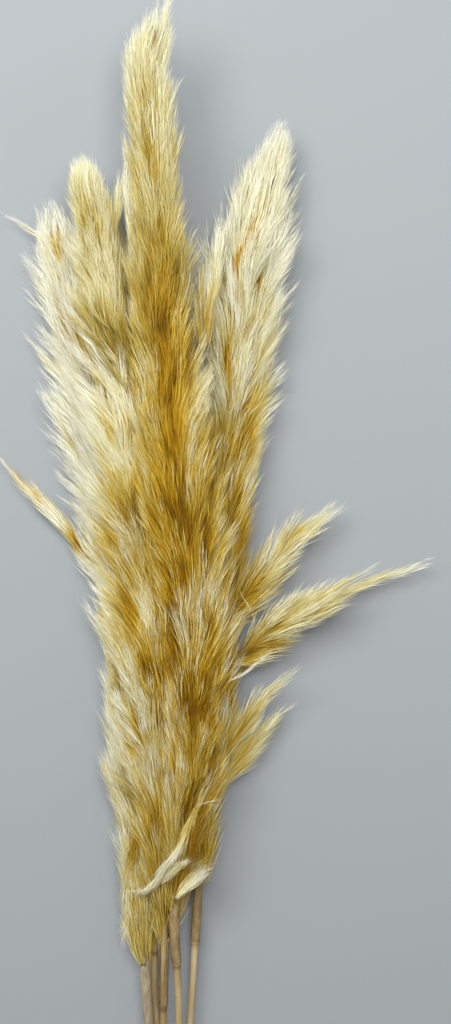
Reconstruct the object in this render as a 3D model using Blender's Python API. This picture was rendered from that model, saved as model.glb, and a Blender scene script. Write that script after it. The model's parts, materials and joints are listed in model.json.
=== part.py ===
"""Dried pampas grass: a tied bunch of five plumes, lying on a surface.

Metres, +Z up. The cut ends point along -Y and the tips of the plumes along +Y. The origin is the
middle of the bunch's footprint, on the surface that it lies on.

Each plume is one solid: its rachis, the dense middle of the head and the wisps that stand out of
it, fused. The wisps are laid out round the plume's axis in y, distance and angle, and are then
pressed in by the borders with the neighbouring plumes and by the surface, as soft heads are in a
bunch, so no plume enters another.
"""

import math
import random

import bmesh
import bpy
from mathutils import Vector

# Lengthwise places of the bunch
CUT_END_Y = -0.400
TIE_Y = -0.262

# Culms, which are the stems below the plumes
CULM_RADIUS_CUT = 0.00240
CULM_RADIUS_TOP = 0.00195
CULM_SIDES = 8
CULM_RING_STEP = 0.030
JOINT_SWELL = 1.16
JOINT_HALF_LENGTH = 0.0022
FACE_GAP = 0.0003

# Leaf sheaths, the split tubes that clasp four of the culms below the head
SHEATH_WALL = 0.0006
SHEATH_LOOSENESS = 0.0007
SHEATH_ARC_POINTS = 8
SHEATH_RINGS = 5
SHEATH_SLANT = 0.004
SLIT_HALF_ANGLE_LOW = 24
SLIT_HALF_ANGLE_HIGH = 62

# Twine wound round the culms
TWINE_RADIUS = 0.0010
TWINE_GAP = 0.0009
TWINE_TURNS = 5
TWINE_PITCH = 0.00225
TWINE_POINTS_PER_TURN = 10

# Borders between neighbouring plumes, and the press of the surface
BORDER_GAP = 0.0014
NECK_RADIUS = 0.0036
FLOOR_PRESS = 0.0034
SQUASH_POWER = 6
SHALLOWEST_FACING = 0.05
LEAST_ROOM = 0.35
LEAST_REACH = 0.0003
LEAST_SPREAD = 0.0005
TIP_FADE = 0.030
TIP_OVERHANG = 0.006
MIN_CLEARANCE = 0.00045

# The dense middle of a head
CORE_SHARE = 0.56
CORE_SIDES = 10
CORE_RING_STEP = 0.036
CORE_RIDGE = 0.10
CORE_LEAST_RADIUS = 0.0016
CORE_END_MARGIN = 0.008

# Wisps: each is a three-sided spindle, sunk by its root in the head's dense middle
GOLDEN_ANGLE = math.pi * (3 - math.sqrt(5))
WISP_STATIONS = (0, 0.30, 0.68, 1)
WISP_WIDTHS = (0, 1, 0.80, 0)
WISP_ROOT = 0.28
WISP_FLARE = 0.75
WISP_REACH = (0.80, 1.14)
WISP_DRIFT = 0.35
WISP_LEAST_RADIUS = 0.0004
WISP_RADIUS_LOW = 0.0050
WISP_RADIUS_HIGH = 0.0035
WISP_LENGTH_LOW = 0.080
WISP_LENGTH_HIGH = 0.055

# Long side sprays
SPRAY_STALK_RADIUS = 0.0014
SPRAY_STALK_STATIONS = (0, 0.3, 0.6, 0.85)
SPRAY_FIRST_WISP = 0.16
SPRAY_LAST_WISP = 0.97
SPRAY_WISP_RADIUS = 0.0040
SPRAY_WISP_LENGTH = 0.052
SPRAY_POINTS = 7

STRAW = (0.55, 0.42, 0.23)
SHEATH_TAN = (0.42, 0.29, 0.13)
PALE_SHEATH = (0.58, 0.47, 0.30)
TWINE_BROWN = (0.36, 0.24, 0.12)
PLUME_CREAM = (0.78, 0.66, 0.38)


def smooth_through(points, x):
    """A smooth line through (x, value) points, read at x, and straight beyond its ends."""
    count = len(points)
    slopes = []
    for i in range(count):
        before, after = points[max(i - 1, 0)], points[min(i + 1, count - 1)]
        slopes.append((after[1] - before[1]) / (after[0] - before[0]))
    if x <= points[0][0]:
        return points[0][1] + slopes[0] * (x - points[0][0])
    if x >= points[-1][0]:
        return points[-1][1] + slopes[-1] * (x - points[-1][0])
    i = next(k for k in range(count - 1) if x <= points[k + 1][0])
    (x0, v0), (x1, v1) = points[i], points[i + 1]
    span = x1 - x0
    t = (x - x0) / span
    return (
        v0 * (1 + 2 * t) * (1 - t) ** 2
        + slopes[i] * span * t * (1 - t) ** 2
        + v1 * t * t * (3 - 2 * t)
        + slopes[i + 1] * span * t * t * (t - 1)
    )


def mix(low, high, share):
    return low + (high - low) * share


class Plume:
    """One stalk of the bunch: the line that it follows, and how far its head spreads round it."""

    def __init__(self, name, axis, envelope, wisps, seed, sprays=()):
        self.name = name
        self.x_points = [(y, x) for x, y, z in axis]
        self.z_points = [(y, z) for x, y, z in axis]
        self.envelope = envelope
        self.base, self.tip = envelope[0][0], envelope[-1][0]
        self.wisps = wisps
        self.seed = seed
        self.sprays = sprays

    def centre(self, y):
        return smooth_through(self.x_points, y), smooth_through(self.z_points, y)

    def at(self, y):
        x, z = self.centre(y)
        return Vector((x, y, z))

    def direction(self, y):
        step = 0.002
        return (self.at(y + step) - self.at(y - step)).normalized()

    def culm_radius(self, y):
        share = (y - CUT_END_Y) / (self.base - CUT_END_Y)
        return mix(CULM_RADIUS_CUT, CULM_RADIUS_TOP, min(max(share, 0), 1))

    def spread(self, y):
        """How far the head reaches from its axis before anything presses on it."""
        if y <= self.base:
            return NECK_RADIUS
        if y >= self.tip:
            return max(self.envelope[-1][1] * (1 - (y - self.tip) / TIP_FADE), LEAST_SPREAD)
        return smooth_through(self.envelope, y)


# Each axis runs from the cut end, through the tie and the foot of the head, to the tip.
# Each envelope gives the head's radius at places along it, from foot to tip.
# Each spray is (root y, tip point, sag, half width, wisps): a side branch that stands clear.
PLUMES = [
    Plume(
        "left",
        axis=[
            (-0.0370, CUT_END_Y, 0.0024), (-0.0325, -0.330, 0.0060), (-0.0283, TIE_Y, 0.0095),
            (-0.0364, -0.170, 0.0170),
            (-0.0395, -0.120, 0.0200), (-0.0430, -0.050, 0.0200), (-0.0460, 0.010, 0.0190),
            (-0.0500, 0.062, 0.0180), (-0.0540, 0.095, 0.0175), (-0.0600, 0.135, 0.0175),
            (-0.0650, 0.165, 0.0175), (-0.0710, 0.200, 0.0175), (-0.0775, 0.230, 0.0175),
            (-0.0840, 0.260, 0.0170), (-0.0900, 0.282, 0.0165),
        ],
        envelope=[
            (-0.135, 0.004), (-0.110, 0.010), (-0.070, 0.012), (-0.040, 0.018), (-0.015, 0.018),
            (0.015, 0.016), (0.060, 0.017), (0.110, 0.019), (0.150, 0.021), (0.190, 0.022),
            (0.230, 0.023), (0.255, 0.021), (0.275, 0.015), (0.290, 0.006),
        ],
        wisps=72,
        seed=11,
        sprays=[
            (0.212, (-0.1225, 0.286, 0.018), 0.010, 0.0040, 3),
            (0.150, (-0.1075, 0.216, 0.016), 0.007, 0.0040, 3),
            (0.110, (-0.0990, 0.186, 0.024), 0.004, 0.0060, 4),
            (0.060, (-0.1210, 0.149, 0.014), 0.015, 0.0050, 5),
            (-0.080, (-0.0500, -0.131, 0.014), 0.004, 0.0050, 3),
        ],
    ),
    Plume(
        "back",
        axis=[
            (-0.0240, CUT_END_Y, 0.0024), (-0.0233, -0.330, 0.0060), (-0.0230, TIE_Y, 0.0095),
            (-0.0325, -0.170, 0.0105),
            (-0.0330, -0.123, 0.0115), (-0.0330, -0.073, 0.0120), (-0.0315, -0.017, 0.0130),
            (-0.0310, 0.039, 0.0140), (-0.0330, 0.090, 0.0150), (-0.0380, 0.140, 0.0155),
            (-0.0440, 0.190, 0.0155), (-0.0520, 0.235, 0.0160), (-0.0620, 0.274, 0.0165),
            (-0.0745, 0.314, 0.0175),
        ],
        envelope=[
            (-0.115, 0.004), (-0.085, 0.008), (-0.040, 0.011), (0.020, 0.015), (0.080, 0.019),
            (0.140, 0.021), (0.200, 0.021), (0.250, 0.019), (0.290, 0.014), (0.316, 0.005),
        ],
        wisps=56,
        seed=23,
    ),
    Plume(
        "front",
        axis=[
            (-0.0305, CUT_END_Y, 0.0024), (-0.0277, -0.330, 0.0098), (-0.0256, TIE_Y, 0.0141),
            (-0.0276, -0.170, 0.0210),
            (-0.0268, -0.120, 0.0270), (-0.0285, -0.073, 0.0345), (-0.0310, -0.017, 0.0440),
            (-0.0350, 0.039, 0.0515), (-0.0390, 0.090, 0.0560), (-0.0430, 0.134, 0.0590),
            (-0.0480, 0.174, 0.0610), (-0.0540, 0.210, 0.0620), (-0.0595, 0.249, 0.0620),
            (-0.0650, 0.283, 0.0615), (-0.0705, 0.311, 0.0600),
        ],
        envelope=[
            (-0.120, 0.004), (-0.090, 0.011), (-0.040, 0.018), (0.020, 0.021), (0.080, 0.021),
            (0.130, 0.020), (0.175, 0.019), (0.220, 0.017), (0.260, 0.015), (0.290, 0.011),
            (0.312, 0.004),
        ],
        wisps=68,
        seed=38,
        sprays=[
            (0.140, (-0.0834, 0.231, 0.0740), 0.004, 0.0040, 4),
            (-0.070, (-0.0560, -0.022, 0.0470), 0.003, 0.0060, 3),
        ],
    ),
    Plume(
        "centre",
        axis=[
            (-0.0170, CUT_END_Y, 0.0024), (-0.0188, -0.330, 0.0098), (-0.0203, TIE_Y, 0.0141),
            (-0.0186, -0.170, 0.0250),
            (-0.0210, -0.107, 0.0350), (-0.0165, -0.056, 0.0405), (-0.0118, -0.010, 0.0470),
            (-0.0106, 0.039, 0.0540), (-0.0130, 0.067, 0.0570), (-0.0180, 0.112, 0.0615),
            (-0.0225, 0.151, 0.0645), (-0.0260, 0.190, 0.0665), (-0.0285, 0.235, 0.0680),
            (-0.0310, 0.290, 0.0685), (-0.0330, 0.330, 0.0680), (-0.0345, 0.365, 0.0670),
            (-0.0310, 0.392, 0.0660),
        ],
        envelope=[
            (-0.103, 0.004), (-0.080, 0.014), (-0.040, 0.021), (0.010, 0.023), (0.060, 0.025),
            (0.120, 0.027), (0.180, 0.026), (0.240, 0.023), (0.280, 0.021), (0.310, 0.0175),
            (0.340, 0.0155), (0.372, 0.0140), (0.395, 0.008),
        ],
        wisps=78,
        seed=43,
        sprays=[
            (-0.094, (-0.0030, -0.0830, 0.0420), 0.006, 0.0045, 3),
        ],
    ),
    Plume(
        "right",
        axis=[
            (-0.0100, CUT_END_Y, 0.0024), (-0.0140, -0.330, 0.0060), (-0.0177, TIE_Y, 0.0095),
            (-0.0118, -0.170, 0.0130),
            (-0.0073, -0.092, 0.0150), (-0.0045, -0.048, 0.0155), (-0.0030, 0.000, 0.0165),
            (-0.0010, 0.045, 0.0170), (0.0040, 0.101, 0.0175), (0.0084, 0.134, 0.0180),
            (0.0115, 0.162, 0.0185), (0.0150, 0.196, 0.0195), (0.0185, 0.230, 0.0205),
            (0.0215, 0.263, 0.0210), (0.0270, 0.290, 0.0210), (0.0330, 0.314, 0.0210),
            (0.0385, 0.333, 0.0210),
        ],
        envelope=[
            (-0.088, 0.004), (-0.062, 0.010), (-0.040, 0.017), (-0.020, 0.022), (0.010, 0.021),
            (0.070, 0.020), (0.120, 0.022), (0.170, 0.024), (0.220, 0.027), (0.262, 0.0275),
            (0.282, 0.023), (0.300, 0.0175), (0.318, 0.012), (0.335, 0.005),
        ],
        wisps=70,
        seed=53,
        sprays=[
            (0.042, (0.0670, 0.1215, 0.0260), 0.003, 0.0090, 5),
            (0.020, (0.0935, 0.0830, 0.0400), 0.002, 0.0110, 7),
            (0.010, (0.1240, 0.0900, 0.0120), 0.012, 0.0050, 4),
            (-0.045, (0.0480, 0.0290, 0.0320), 0.003, 0.0060, 4),
            (-0.052, (0.0440, 0.0060, 0.0140), 0.002, 0.0060, 4),
        ],
    ),
]

# Places along the culms, below the heads: the joints, and each sheath's ends and open side
JOINTS = {
    "left": (-0.208,),
    "back": (-0.225, -0.138),
    "front": (-0.163,),
    "centre": (-0.138,),
    "right": (-0.1265,),
}
SHEATHS = {
    "left": (-0.204, -0.142, 200),
    "front": (-0.161, -0.126, 120),
    "centre": (-0.136, -0.109, 250),
    "right": (-0.125, -0.094, 165),
}


def named_plume(name):
    return next(plume for plume in PLUMES if plume.name == name)


def borders(plume, y):
    """The straight borders round a plume at y, each as its distance from the axis and its direction."""
    x, z = plume.centre(y)
    spread = plume.spread(y)
    found = [(z + FLOOR_PRESS, -math.pi / 2)]
    for other in PLUMES:
        if other is plume:
            continue
        other_x, other_z = other.centre(y)
        apart = math.hypot(other_x - x, other_z - z)
        other_spread = other.spread(y)
        away = (apart**2 + spread**2 - other_spread**2) / (2 * apart)
        nearest_other = min(NECK_RADIUS, other_spread)
        away = min(max(away, min(NECK_RADIUS, spread)), apart - nearest_other)
        found.append((away - BORDER_GAP / 2, math.atan2(other_z - z, other_x - x)))
    return found


def pressed(plume, y, distance, angle, thickness=0.0):
    """The point at that distance and angle from the axis, pressed in by the borders at y."""
    total = max(distance, LEAST_REACH) ** -SQUASH_POWER
    for away, towards in borders(plume, y):
        facing = math.cos(angle - towards)
        if facing > SHALLOWEST_FACING:
            room = max(away - thickness, LEAST_ROOM * away)
            total += (room / facing) ** -SQUASH_POWER
    reach = total ** (-1 / SQUASH_POWER)
    x, z = plume.centre(y)
    return Vector((x + reach * math.cos(angle), y, z + reach * math.sin(angle)))


def clearance(plume, point):
    """How far a point is inside the plume's borders."""
    x, z = plume.centre(point.y)
    return min(
        away - (point.x - x) * math.cos(towards) - (point.z - z) * math.sin(towards)
        for away, towards in borders(plume, point.y)
    )


def closed_tube(rings, start=None, end=None):
    """Vertices and faces of a tube through equal rings, closed by a point or by a flat end."""
    sides = len(rings[0])
    vertices = [corner for ring in rings for corner in ring]
    faces = []
    for k in range(len(rings) - 1):
        for i in range(sides):
            low, low_next = k * sides + i, k * sides + (i + 1) % sides
            faces.append((low, low_next, low_next + sides, low + sides))
    last = (len(rings) - 1) * sides
    for point, first, turn in ((start, 0, 1), (end, last, -1)):
        if point is None:
            faces.append(tuple(first + i for i in range(sides))[::-turn])
            continue
        vertices.append(point)
        for i in range(sides):
            pair = (first + i, first + (i + 1) % sides)[::-turn]
            faces.append((*pair, len(vertices) - 1))
    return vertices, faces


def new_object(name, vertices, faces):
    mesh = bpy.data.meshes.new(name)
    mesh.from_pydata([tuple(v) for v in vertices], [], faces)
    shape = bmesh.new()
    shape.from_mesh(mesh)
    bmesh.ops.recalc_face_normals(shape, faces=shape.faces)
    shape.to_mesh(mesh)
    shape.free()
    made = bpy.data.objects.new(name, mesh)
    bpy.context.scene.collection.objects.link(made)
    return made


def ring_round(centre, along, outward, radius, sides):
    """A ring of points round a centre, square to the direction along."""
    outward = (outward - along * outward.dot(along)).normalized()
    side = along.cross(outward)
    return [
        centre
        + (outward * math.cos(turn) + side * math.sin(turn)) * radius
        for turn in (2 * math.pi * i / sides for i in range(sides))
    ]


def spindle(plume, path, radius):
    """A wisp along (y, distance, angle) places: pointed at both ends, widest in the middle."""
    centres = [pressed(plume, y, distance, angle, radius) for y, distance, angle in path]
    rings = []
    for i in range(1, len(path) - 1):
        along = (centres[i + 1] - centres[i - 1]).normalized()
        angle = path[i][2]
        outward = Vector((math.cos(angle), 0, math.sin(angle)))
        room = clearance(plume, centres[i]) - MIN_CLEARANCE
        size = min(radius * WISP_WIDTHS[i], max(room, WISP_LEAST_RADIUS))
        rings.append(ring_round(centres[i], along, outward, size, 3))
    return closed_tube(rings, centres[0], centres[-1])


def openness(plume, y, angle):
    """The share of the head's spread that the borders leave free in one direction."""
    free = pressed(plume, y, plume.spread(y), angle)
    x, z = plume.centre(y)
    return math.hypot(free.x - x, free.z - z) / plume.spread(y)


def head_wisps(plume):
    """The wisps of a head, by a rule: round it by the golden angle, and fewer where it is pressed."""
    rng = random.Random(plume.seed)
    wisps = []
    turn = 0
    for k in range(plume.wisps):
        share = (k + 0.5) / plume.wisps
        length = mix(WISP_LENGTH_LOW, WISP_LENGTH_HIGH, share) * rng.uniform(0.85, 1.2)
        root = mix(plume.base + 0.004, plume.tip - 0.7 * WISP_LENGTH_HIGH, share)
        length = min(length, plume.tip + TIP_OVERHANG - root)
        while True:
            turn += GOLDEN_ANGLE
            angle = turn + rng.uniform(-0.25, 0.25)
            if rng.random() < openness(plume, root + 0.7 * length, angle) ** 1.5:
                break
        reach = rng.uniform(*WISP_REACH)
        drift = rng.uniform(-WISP_DRIFT, WISP_DRIFT)
        path = []
        for station in WISP_STATIONS:
            y = root + length * station
            outer = mix(WISP_ROOT, reach, station**WISP_FLARE)
            path.append((y, plume.spread(y) * outer, angle + drift * station))
        wisps.append((path, mix(WISP_RADIUS_LOW, WISP_RADIUS_HIGH, share) * rng.uniform(0.85, 1.15)))
    return wisps


def spray_line(plume, root_y, tip, sag):
    """Points of a side branch, from the rachis, out in an arc, to its tip."""
    root, end = plume.at(root_y), Vector(tip)
    outward = Vector((end.x - root.x, 0, end.z - root.z)).normalized()
    points = []
    for k in range(SPRAY_POINTS):
        t = k / (SPRAY_POINTS - 1)
        points.append(root.lerp(end, t) - outward * sag * math.sin(math.pi * t))
    return points


def line_at(points, t):
    place = t * (len(points) - 1)
    i = min(int(place), len(points) - 2)
    return points[i].lerp(points[i + 1], place - i)


def cylinder_place(plume, point):
    """A point as (y, distance, angle) from the plume's axis."""
    x, z = plume.centre(point.y)
    return point.y, math.hypot(point.x - x, point.z - z), math.atan2(point.z - z, point.x - x)


def spray_parts(plume, rng, root_y, tip, sag, half_width, count):
    """One side branch: the places that its stalk runs through, and the wisps along it."""
    line = spray_line(plume, root_y, tip, sag)
    stalk = [cylinder_place(plume, line_at(line, t)) for t in SPRAY_STALK_STATIONS]
    along = (line[-1] - line[0]).normalized()
    side = along.cross(Vector((0, 0, 1))).normalized()
    rise = side.cross(along)
    span = min(SPRAY_WISP_LENGTH / (line[-1] - line[0]).length, 0.7)
    wisps = []
    for j in range(count):
        last_one = j == count - 1
        first = mix(SPRAY_FIRST_WISP, SPRAY_LAST_WISP - span, j / (count - 1))
        last = 1 if last_one else min(first + span * rng.uniform(0.9, 1.1), 0.99)
        turn = j * GOLDEN_ANGLE
        width = 0 if last_one else half_width * rng.uniform(0.75, 1.1)
        aside = (side * math.cos(turn) + rise * math.sin(turn)) * width
        path = []
        for station in WISP_STATIONS:
            point = line_at(line, mix(first, last, station)) + aside * station**WISP_FLARE
            path.append(cylinder_place(plume, point))
        wisps.append((path, SPRAY_WISP_RADIUS * rng.uniform(0.85, 1.1)))
    return stalk, wisps


def stalk_tube(plume, path):
    """The slim stalk of a side branch, pointed at both ends."""
    centres = [
        pressed(plume, y, distance, angle, SPRAY_STALK_RADIUS) for y, distance, angle in path
    ]
    rings = []
    for i in range(1, len(centres) - 1):
        along = (centres[i + 1] - centres[i - 1]).normalized()
        rings.append(ring_round(centres[i], along, Vector((0, 0, 1)), SPRAY_STALK_RADIUS, 3))
    return closed_tube(rings, centres[0], centres[-1])


def core_tube(plume):
    """The dense middle of a head, with ridges that wind slowly along it."""
    foot, end = plume.base + FACE_GAP, plume.tip - CORE_END_MARGIN
    steps = round((plume.tip - foot) / CORE_RING_STEP)
    along = plume.direction(plume.base)
    rings = [ring_round(plume.at(foot), along, Vector((1, 0, 0)), CULM_RADIUS_TOP, CORE_SIDES)]
    for k in range(1, steps):
        y = mix(foot, end, k / steps)
        ring = []
        for i in range(CORE_SIDES):
            angle = -2 * math.pi * i / CORE_SIDES
            ridge = 1 + CORE_RIDGE * math.cos(5 * angle + 3 * k)
            distance = max(CORE_SHARE * plume.spread(y) * ridge, CORE_LEAST_RADIUS)
            ring.append(pressed(plume, y, distance, angle, MIN_CLEARANCE))
        rings.append(ring)
    return closed_tube(rings, None, plume.at(end))


def as_applied(body):
    """Applies the modifiers of an object to its mesh."""
    bpy.context.view_layer.update()
    graph = bpy.context.evaluated_depsgraph_get()
    mesh = bpy.data.meshes.new_from_object(body.evaluated_get(graph))
    body.modifiers.clear()
    old, body.data = body.data, mesh
    bpy.data.meshes.remove(old)


def fuse(body, pieces):
    """Joins pieces that run into a body with it, by one union, and removes them."""
    group = bpy.data.collections.new("pieces of " + body.name)
    bpy.context.scene.collection.children.link(group)
    for piece in pieces:
        bpy.context.scene.collection.objects.unlink(piece)
        group.objects.link(piece)
    union = body.modifiers.new("fuse", "BOOLEAN")
    union.operation = "UNION"
    union.operand_type = "COLLECTION"
    union.collection = group
    union.solver = "MANIFOLD"
    as_applied(body)
    for piece in pieces:
        mesh = piece.data
        bpy.data.objects.remove(piece)
        bpy.data.meshes.remove(mesh)
    bpy.data.collections.remove(group)


def flatten_on_surface(body):
    """Cuts off what the surface presses flat, at z = 0."""
    size, depth = 1.2, 0.02
    corners = [
        (x, y, z)
        for z in (-depth, 0)
        for x, y in ((-size, -size), (size, -size), (size, size), (-size, size))
    ]
    faces = [(3, 2, 1, 0), (4, 5, 6, 7)]
    faces += [(i, (i + 1) % 4, (i + 1) % 4 + 4, i + 4) for i in range(4)]
    slab = new_object("surface slab", corners, faces)
    cut = body.modifiers.new("surface", "BOOLEAN")
    cut.operation = "DIFFERENCE"
    cut.object = slab
    cut.solver = "MANIFOLD"
    as_applied(body)
    mesh = slab.data
    bpy.data.objects.remove(slab)
    bpy.data.meshes.remove(mesh)


def enclosed_volume(faces):
    """Six times the volume inside a closed set of faces, negative for the wall of a hollow."""
    total = 0
    for face in faces:
        first = face.verts[0].co
        for second, third in zip(face.verts[1:-1], face.verts[2:]):
            total += first.dot(second.co.cross(third.co))
    return total


def keep_outer_body(body):
    """Fills hollows that the union sealed, and drops loose scraps: only the largest shell stays."""
    shape = bmesh.new()
    shape.from_mesh(body.data)
    unseen = set(shape.faces)
    shells = []
    while unseen:
        shell, ahead = [], [unseen.pop()]
        while ahead:
            face = ahead.pop()
            shell.append(face)
            for edge in face.edges:
                for other in edge.link_faces:
                    if other in unseen:
                        unseen.remove(other)
                        ahead.append(other)
        shells.append((enclosed_volume(shell), shell))
    shells.sort(key=lambda found: found[0])
    extra = [face for _, shell in shells[:-1] for face in shell]
    if extra:
        bmesh.ops.delete(shape, geom=extra, context="FACES")
    shape.to_mesh(body.data)
    shape.free()


def material(name, colour, roughness):
    made = bpy.data.materials.new(name)
    made.use_nodes = True
    shader = made.node_tree.nodes["Principled BSDF"]
    shader.inputs["Base Color"].default_value = (*colour, 1)
    shader.inputs["Roughness"].default_value = roughness
    shader.inputs["Metallic"].default_value = 0
    return made


def make_head(plume, finish):
    """The plume itself: core, wisps and sprays in one solid."""
    body = new_object("plume_" + plume.name, *core_tube(plume))
    rng = random.Random(plume.seed + 1000)
    shapes = [spindle(plume, path, radius) for path, radius in head_wisps(plume)]
    for spray in plume.sprays:
        stalk, wisps = spray_parts(plume, rng, *spray)
        shapes.append(stalk_tube(plume, stalk))
        shapes += [spindle(plume, path, radius) for path, radius in wisps]
    pieces = [new_object("wisp", vertices, faces) for vertices, faces in shapes]
    fuse(body, pieces)
    flatten_on_surface(body)
    keep_outer_body(body)
    body.data.materials.clear()
    body.data.materials.append(finish)
    body.data.shade_flat()


def make_culm(plume, finish):
    """The bare stem, from its cut end to just under the head, with its joints."""
    stations = [CUT_END_Y]
    while stations[-1] + CULM_RING_STEP < plume.base:
        stations.append(stations[-1] + CULM_RING_STEP)
    stations.append(plume.base)
    swollen = {}
    for joint in JOINTS[plume.name]:
        stations = [y for y in stations if abs(y - joint) > 3 * JOINT_HALF_LENGTH]
        for offset, swell in ((-1, 1), (-0.35, JOINT_SWELL), (0.35, JOINT_SWELL), (1, 1)):
            swollen[joint + offset * JOINT_HALF_LENGTH] = swell
    rings = []
    for y in sorted([*stations, *swollen]):
        radius = plume.culm_radius(y) * swollen.get(y, 1)
        rings.append(
            ring_round(plume.at(y), plume.direction(y), Vector((0, 0, 1)), radius, CULM_SIDES)
        )
    body = new_object("stem_" + plume.name, *closed_tube(rings))
    body.data.materials.append(finish)
    body.data.shade_smooth()
    body.data.set_sharp_from_angle(angle=math.radians(40))


def make_sheath(plume, low, high, opening, finish):
    """A dry leaf sheath: a split tube that clasps the culm, its upper end cut aslant."""
    middle = math.radians(opening)
    rings = []
    for k in range(SHEATH_RINGS):
        t = k / (SHEATH_RINGS - 1)
        half_open = math.radians(mix(SLIT_HALF_ANGLE_LOW, SLIT_HALF_ANGLE_HIGH, t**2))
        ring = []
        for wall in (SHEATH_LOOSENESS + SHEATH_WALL, SHEATH_LOOSENESS):
            arc = []
            for i in range(SHEATH_ARC_POINTS):
                share = i / (SHEATH_ARC_POINTS - 1)
                turn = middle + mix(half_open, 2 * math.pi - half_open, share)
                slant = SHEATH_SLANT * t**2 * math.cos(turn - middle)
                y = mix(low, high, t) - slant
                along = plume.direction(y)
                outward = Vector((math.cos(turn), 0, math.sin(turn)))
                outward = (outward - along * outward.dot(along)).normalized()
                arc.append(plume.at(y) + outward * (plume.culm_radius(y) + wall))
            ring += arc if wall > SHEATH_LOOSENESS else arc[::-1]
        rings.append(ring)
    body = new_object("sheath_" + plume.name, *closed_tube(rings))
    body.data.materials.append(finish)
    body.data.shade_flat()


def make_tie(finish):
    """Twine wound round the five culms, its turns side by side."""
    steps = TWINE_TURNS * TWINE_POINTS_PER_TURN
    start = TIE_Y - TWINE_TURNS * TWINE_PITCH / 2
    curve = bpy.data.curves.new("tie", "CURVE")
    curve.dimensions = "3D"
    curve.bevel_depth = TWINE_RADIUS
    curve.bevel_resolution = 1
    curve.use_fill_caps = True
    line = curve.splines.new("POLY")
    line.points.add(steps)
    for i in range(steps + 1):
        y = start + TWINE_PITCH * i / TWINE_POINTS_PER_TURN
        turn = math.pi / 2 + 2 * math.pi * i / TWINE_POINTS_PER_TURN
        normal = Vector((math.cos(turn), 0, math.sin(turn)))
        outermost = max(PLUMES, key=lambda plume: plume.at(y).dot(normal))
        distance = outermost.culm_radius(y) + TWINE_GAP + TWINE_RADIUS
        point = outermost.at(y) + normal * distance
        line.points[i].co = (*point, 1)
    made = bpy.data.objects.new("tie", curve)
    bpy.context.scene.collection.objects.link(made)
    curve.materials.append(finish)


def main():
    for old in list(bpy.data.objects):
        bpy.data.objects.remove(old)
    cream = material("plume_cream", PLUME_CREAM, 0.85)
    straw = material("culm_straw", STRAW, 0.55)
    tan = material("sheath_tan", SHEATH_TAN, 0.65)
    pale = material("sheath_pale", PALE_SHEATH, 0.65)
    brown = material("twine_brown", TWINE_BROWN, 0.90)
    for plume in PLUMES:
        make_head(plume, cream)
        make_culm(plume, straw)
    for name, (low, high, opening) in SHEATHS.items():
        make_sheath(named_plume(name), low, high, opening, pale if name == "left" else tan)
    make_tie(brown)


main()
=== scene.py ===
"""Looks of a tied bunch of dried pampas grass, lying on a surface.

The plumes are dressed in tufts of hair that follow the same layout as the solids, and the culms, leaf
sheaths and twine get their fine shapes and finishes. Metres, +Z up; the tips point along +Y.
"""

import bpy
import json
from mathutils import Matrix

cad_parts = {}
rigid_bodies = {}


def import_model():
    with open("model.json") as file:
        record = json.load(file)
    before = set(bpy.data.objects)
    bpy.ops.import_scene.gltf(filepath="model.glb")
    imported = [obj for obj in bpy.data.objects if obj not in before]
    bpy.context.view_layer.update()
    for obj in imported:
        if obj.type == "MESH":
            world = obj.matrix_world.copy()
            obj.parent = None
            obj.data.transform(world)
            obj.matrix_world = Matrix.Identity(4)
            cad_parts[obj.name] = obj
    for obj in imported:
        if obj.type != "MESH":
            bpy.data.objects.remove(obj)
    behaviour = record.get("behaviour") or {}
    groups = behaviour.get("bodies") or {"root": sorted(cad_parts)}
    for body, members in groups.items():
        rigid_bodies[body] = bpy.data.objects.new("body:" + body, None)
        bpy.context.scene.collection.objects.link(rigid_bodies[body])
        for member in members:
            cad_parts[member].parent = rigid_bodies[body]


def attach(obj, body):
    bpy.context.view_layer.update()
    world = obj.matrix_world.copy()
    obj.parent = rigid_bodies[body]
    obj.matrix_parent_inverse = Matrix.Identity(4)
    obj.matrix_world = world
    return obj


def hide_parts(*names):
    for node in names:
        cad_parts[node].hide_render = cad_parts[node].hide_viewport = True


bl_info = {
    "name": "Dried pampas grass",
    "version": (1, 0, 0),
    "blender": (4, 5, 0),
    "location": "3D View > Sidebar > Pampas",
    "description": "Plume hair, culms, leaf sheaths and twine of a tied bunch, and a plain stage",
    "category": "Object",
}

import json
import math
import random
from collections import namedtuple

import bmesh
import bpy
from bpy.props import FloatProperty, FloatVectorProperty, IntProperty, PointerProperty
from mathutils import Vector

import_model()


def metres(mm):
    """Millimetres as metres, number by number in a nested table."""
    return round(mm / 1000, 6) if isinstance(mm, (int, float)) else [metres(part) for part in mm]


# Lengthwise places of the bunch, as in the solids: millimetres, and metres
CUT_END, TIE = -400, -262
CUT_END_Y, TIE_Y = metres((CUT_END, TIE))

UP = Vector((0, 0, 1))
FULL_TURN = 2 * math.pi
GOLDEN_ANGLE = math.pi * (3 - math.sqrt(5))

# Culms, and how far each runs on inside its head
CULM_RADIUS_CUT = 0.00240
CULM_RADIUS_TOP = 0.00195
CULM_SIDES = 24
CULM_RING_STEP = 0.006
RACHIS_LENGTH = 0.060

# Borders between neighbouring plumes, and the press of the surface
BORDER_GAP = 0.0014
NECK_RADIUS = 0.0036
FLOOR_PRESS = 0.0034
SQUASH_POWER = 6
SHALLOWEST_FACING = 0.05
LEAST_ROOM = 0.35
LEAST_REACH = 0.0003
LEAST_SPREAD = 0.0005
TIP_FADE = 0.030
TIP_OVERHANG = 0.006

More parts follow.
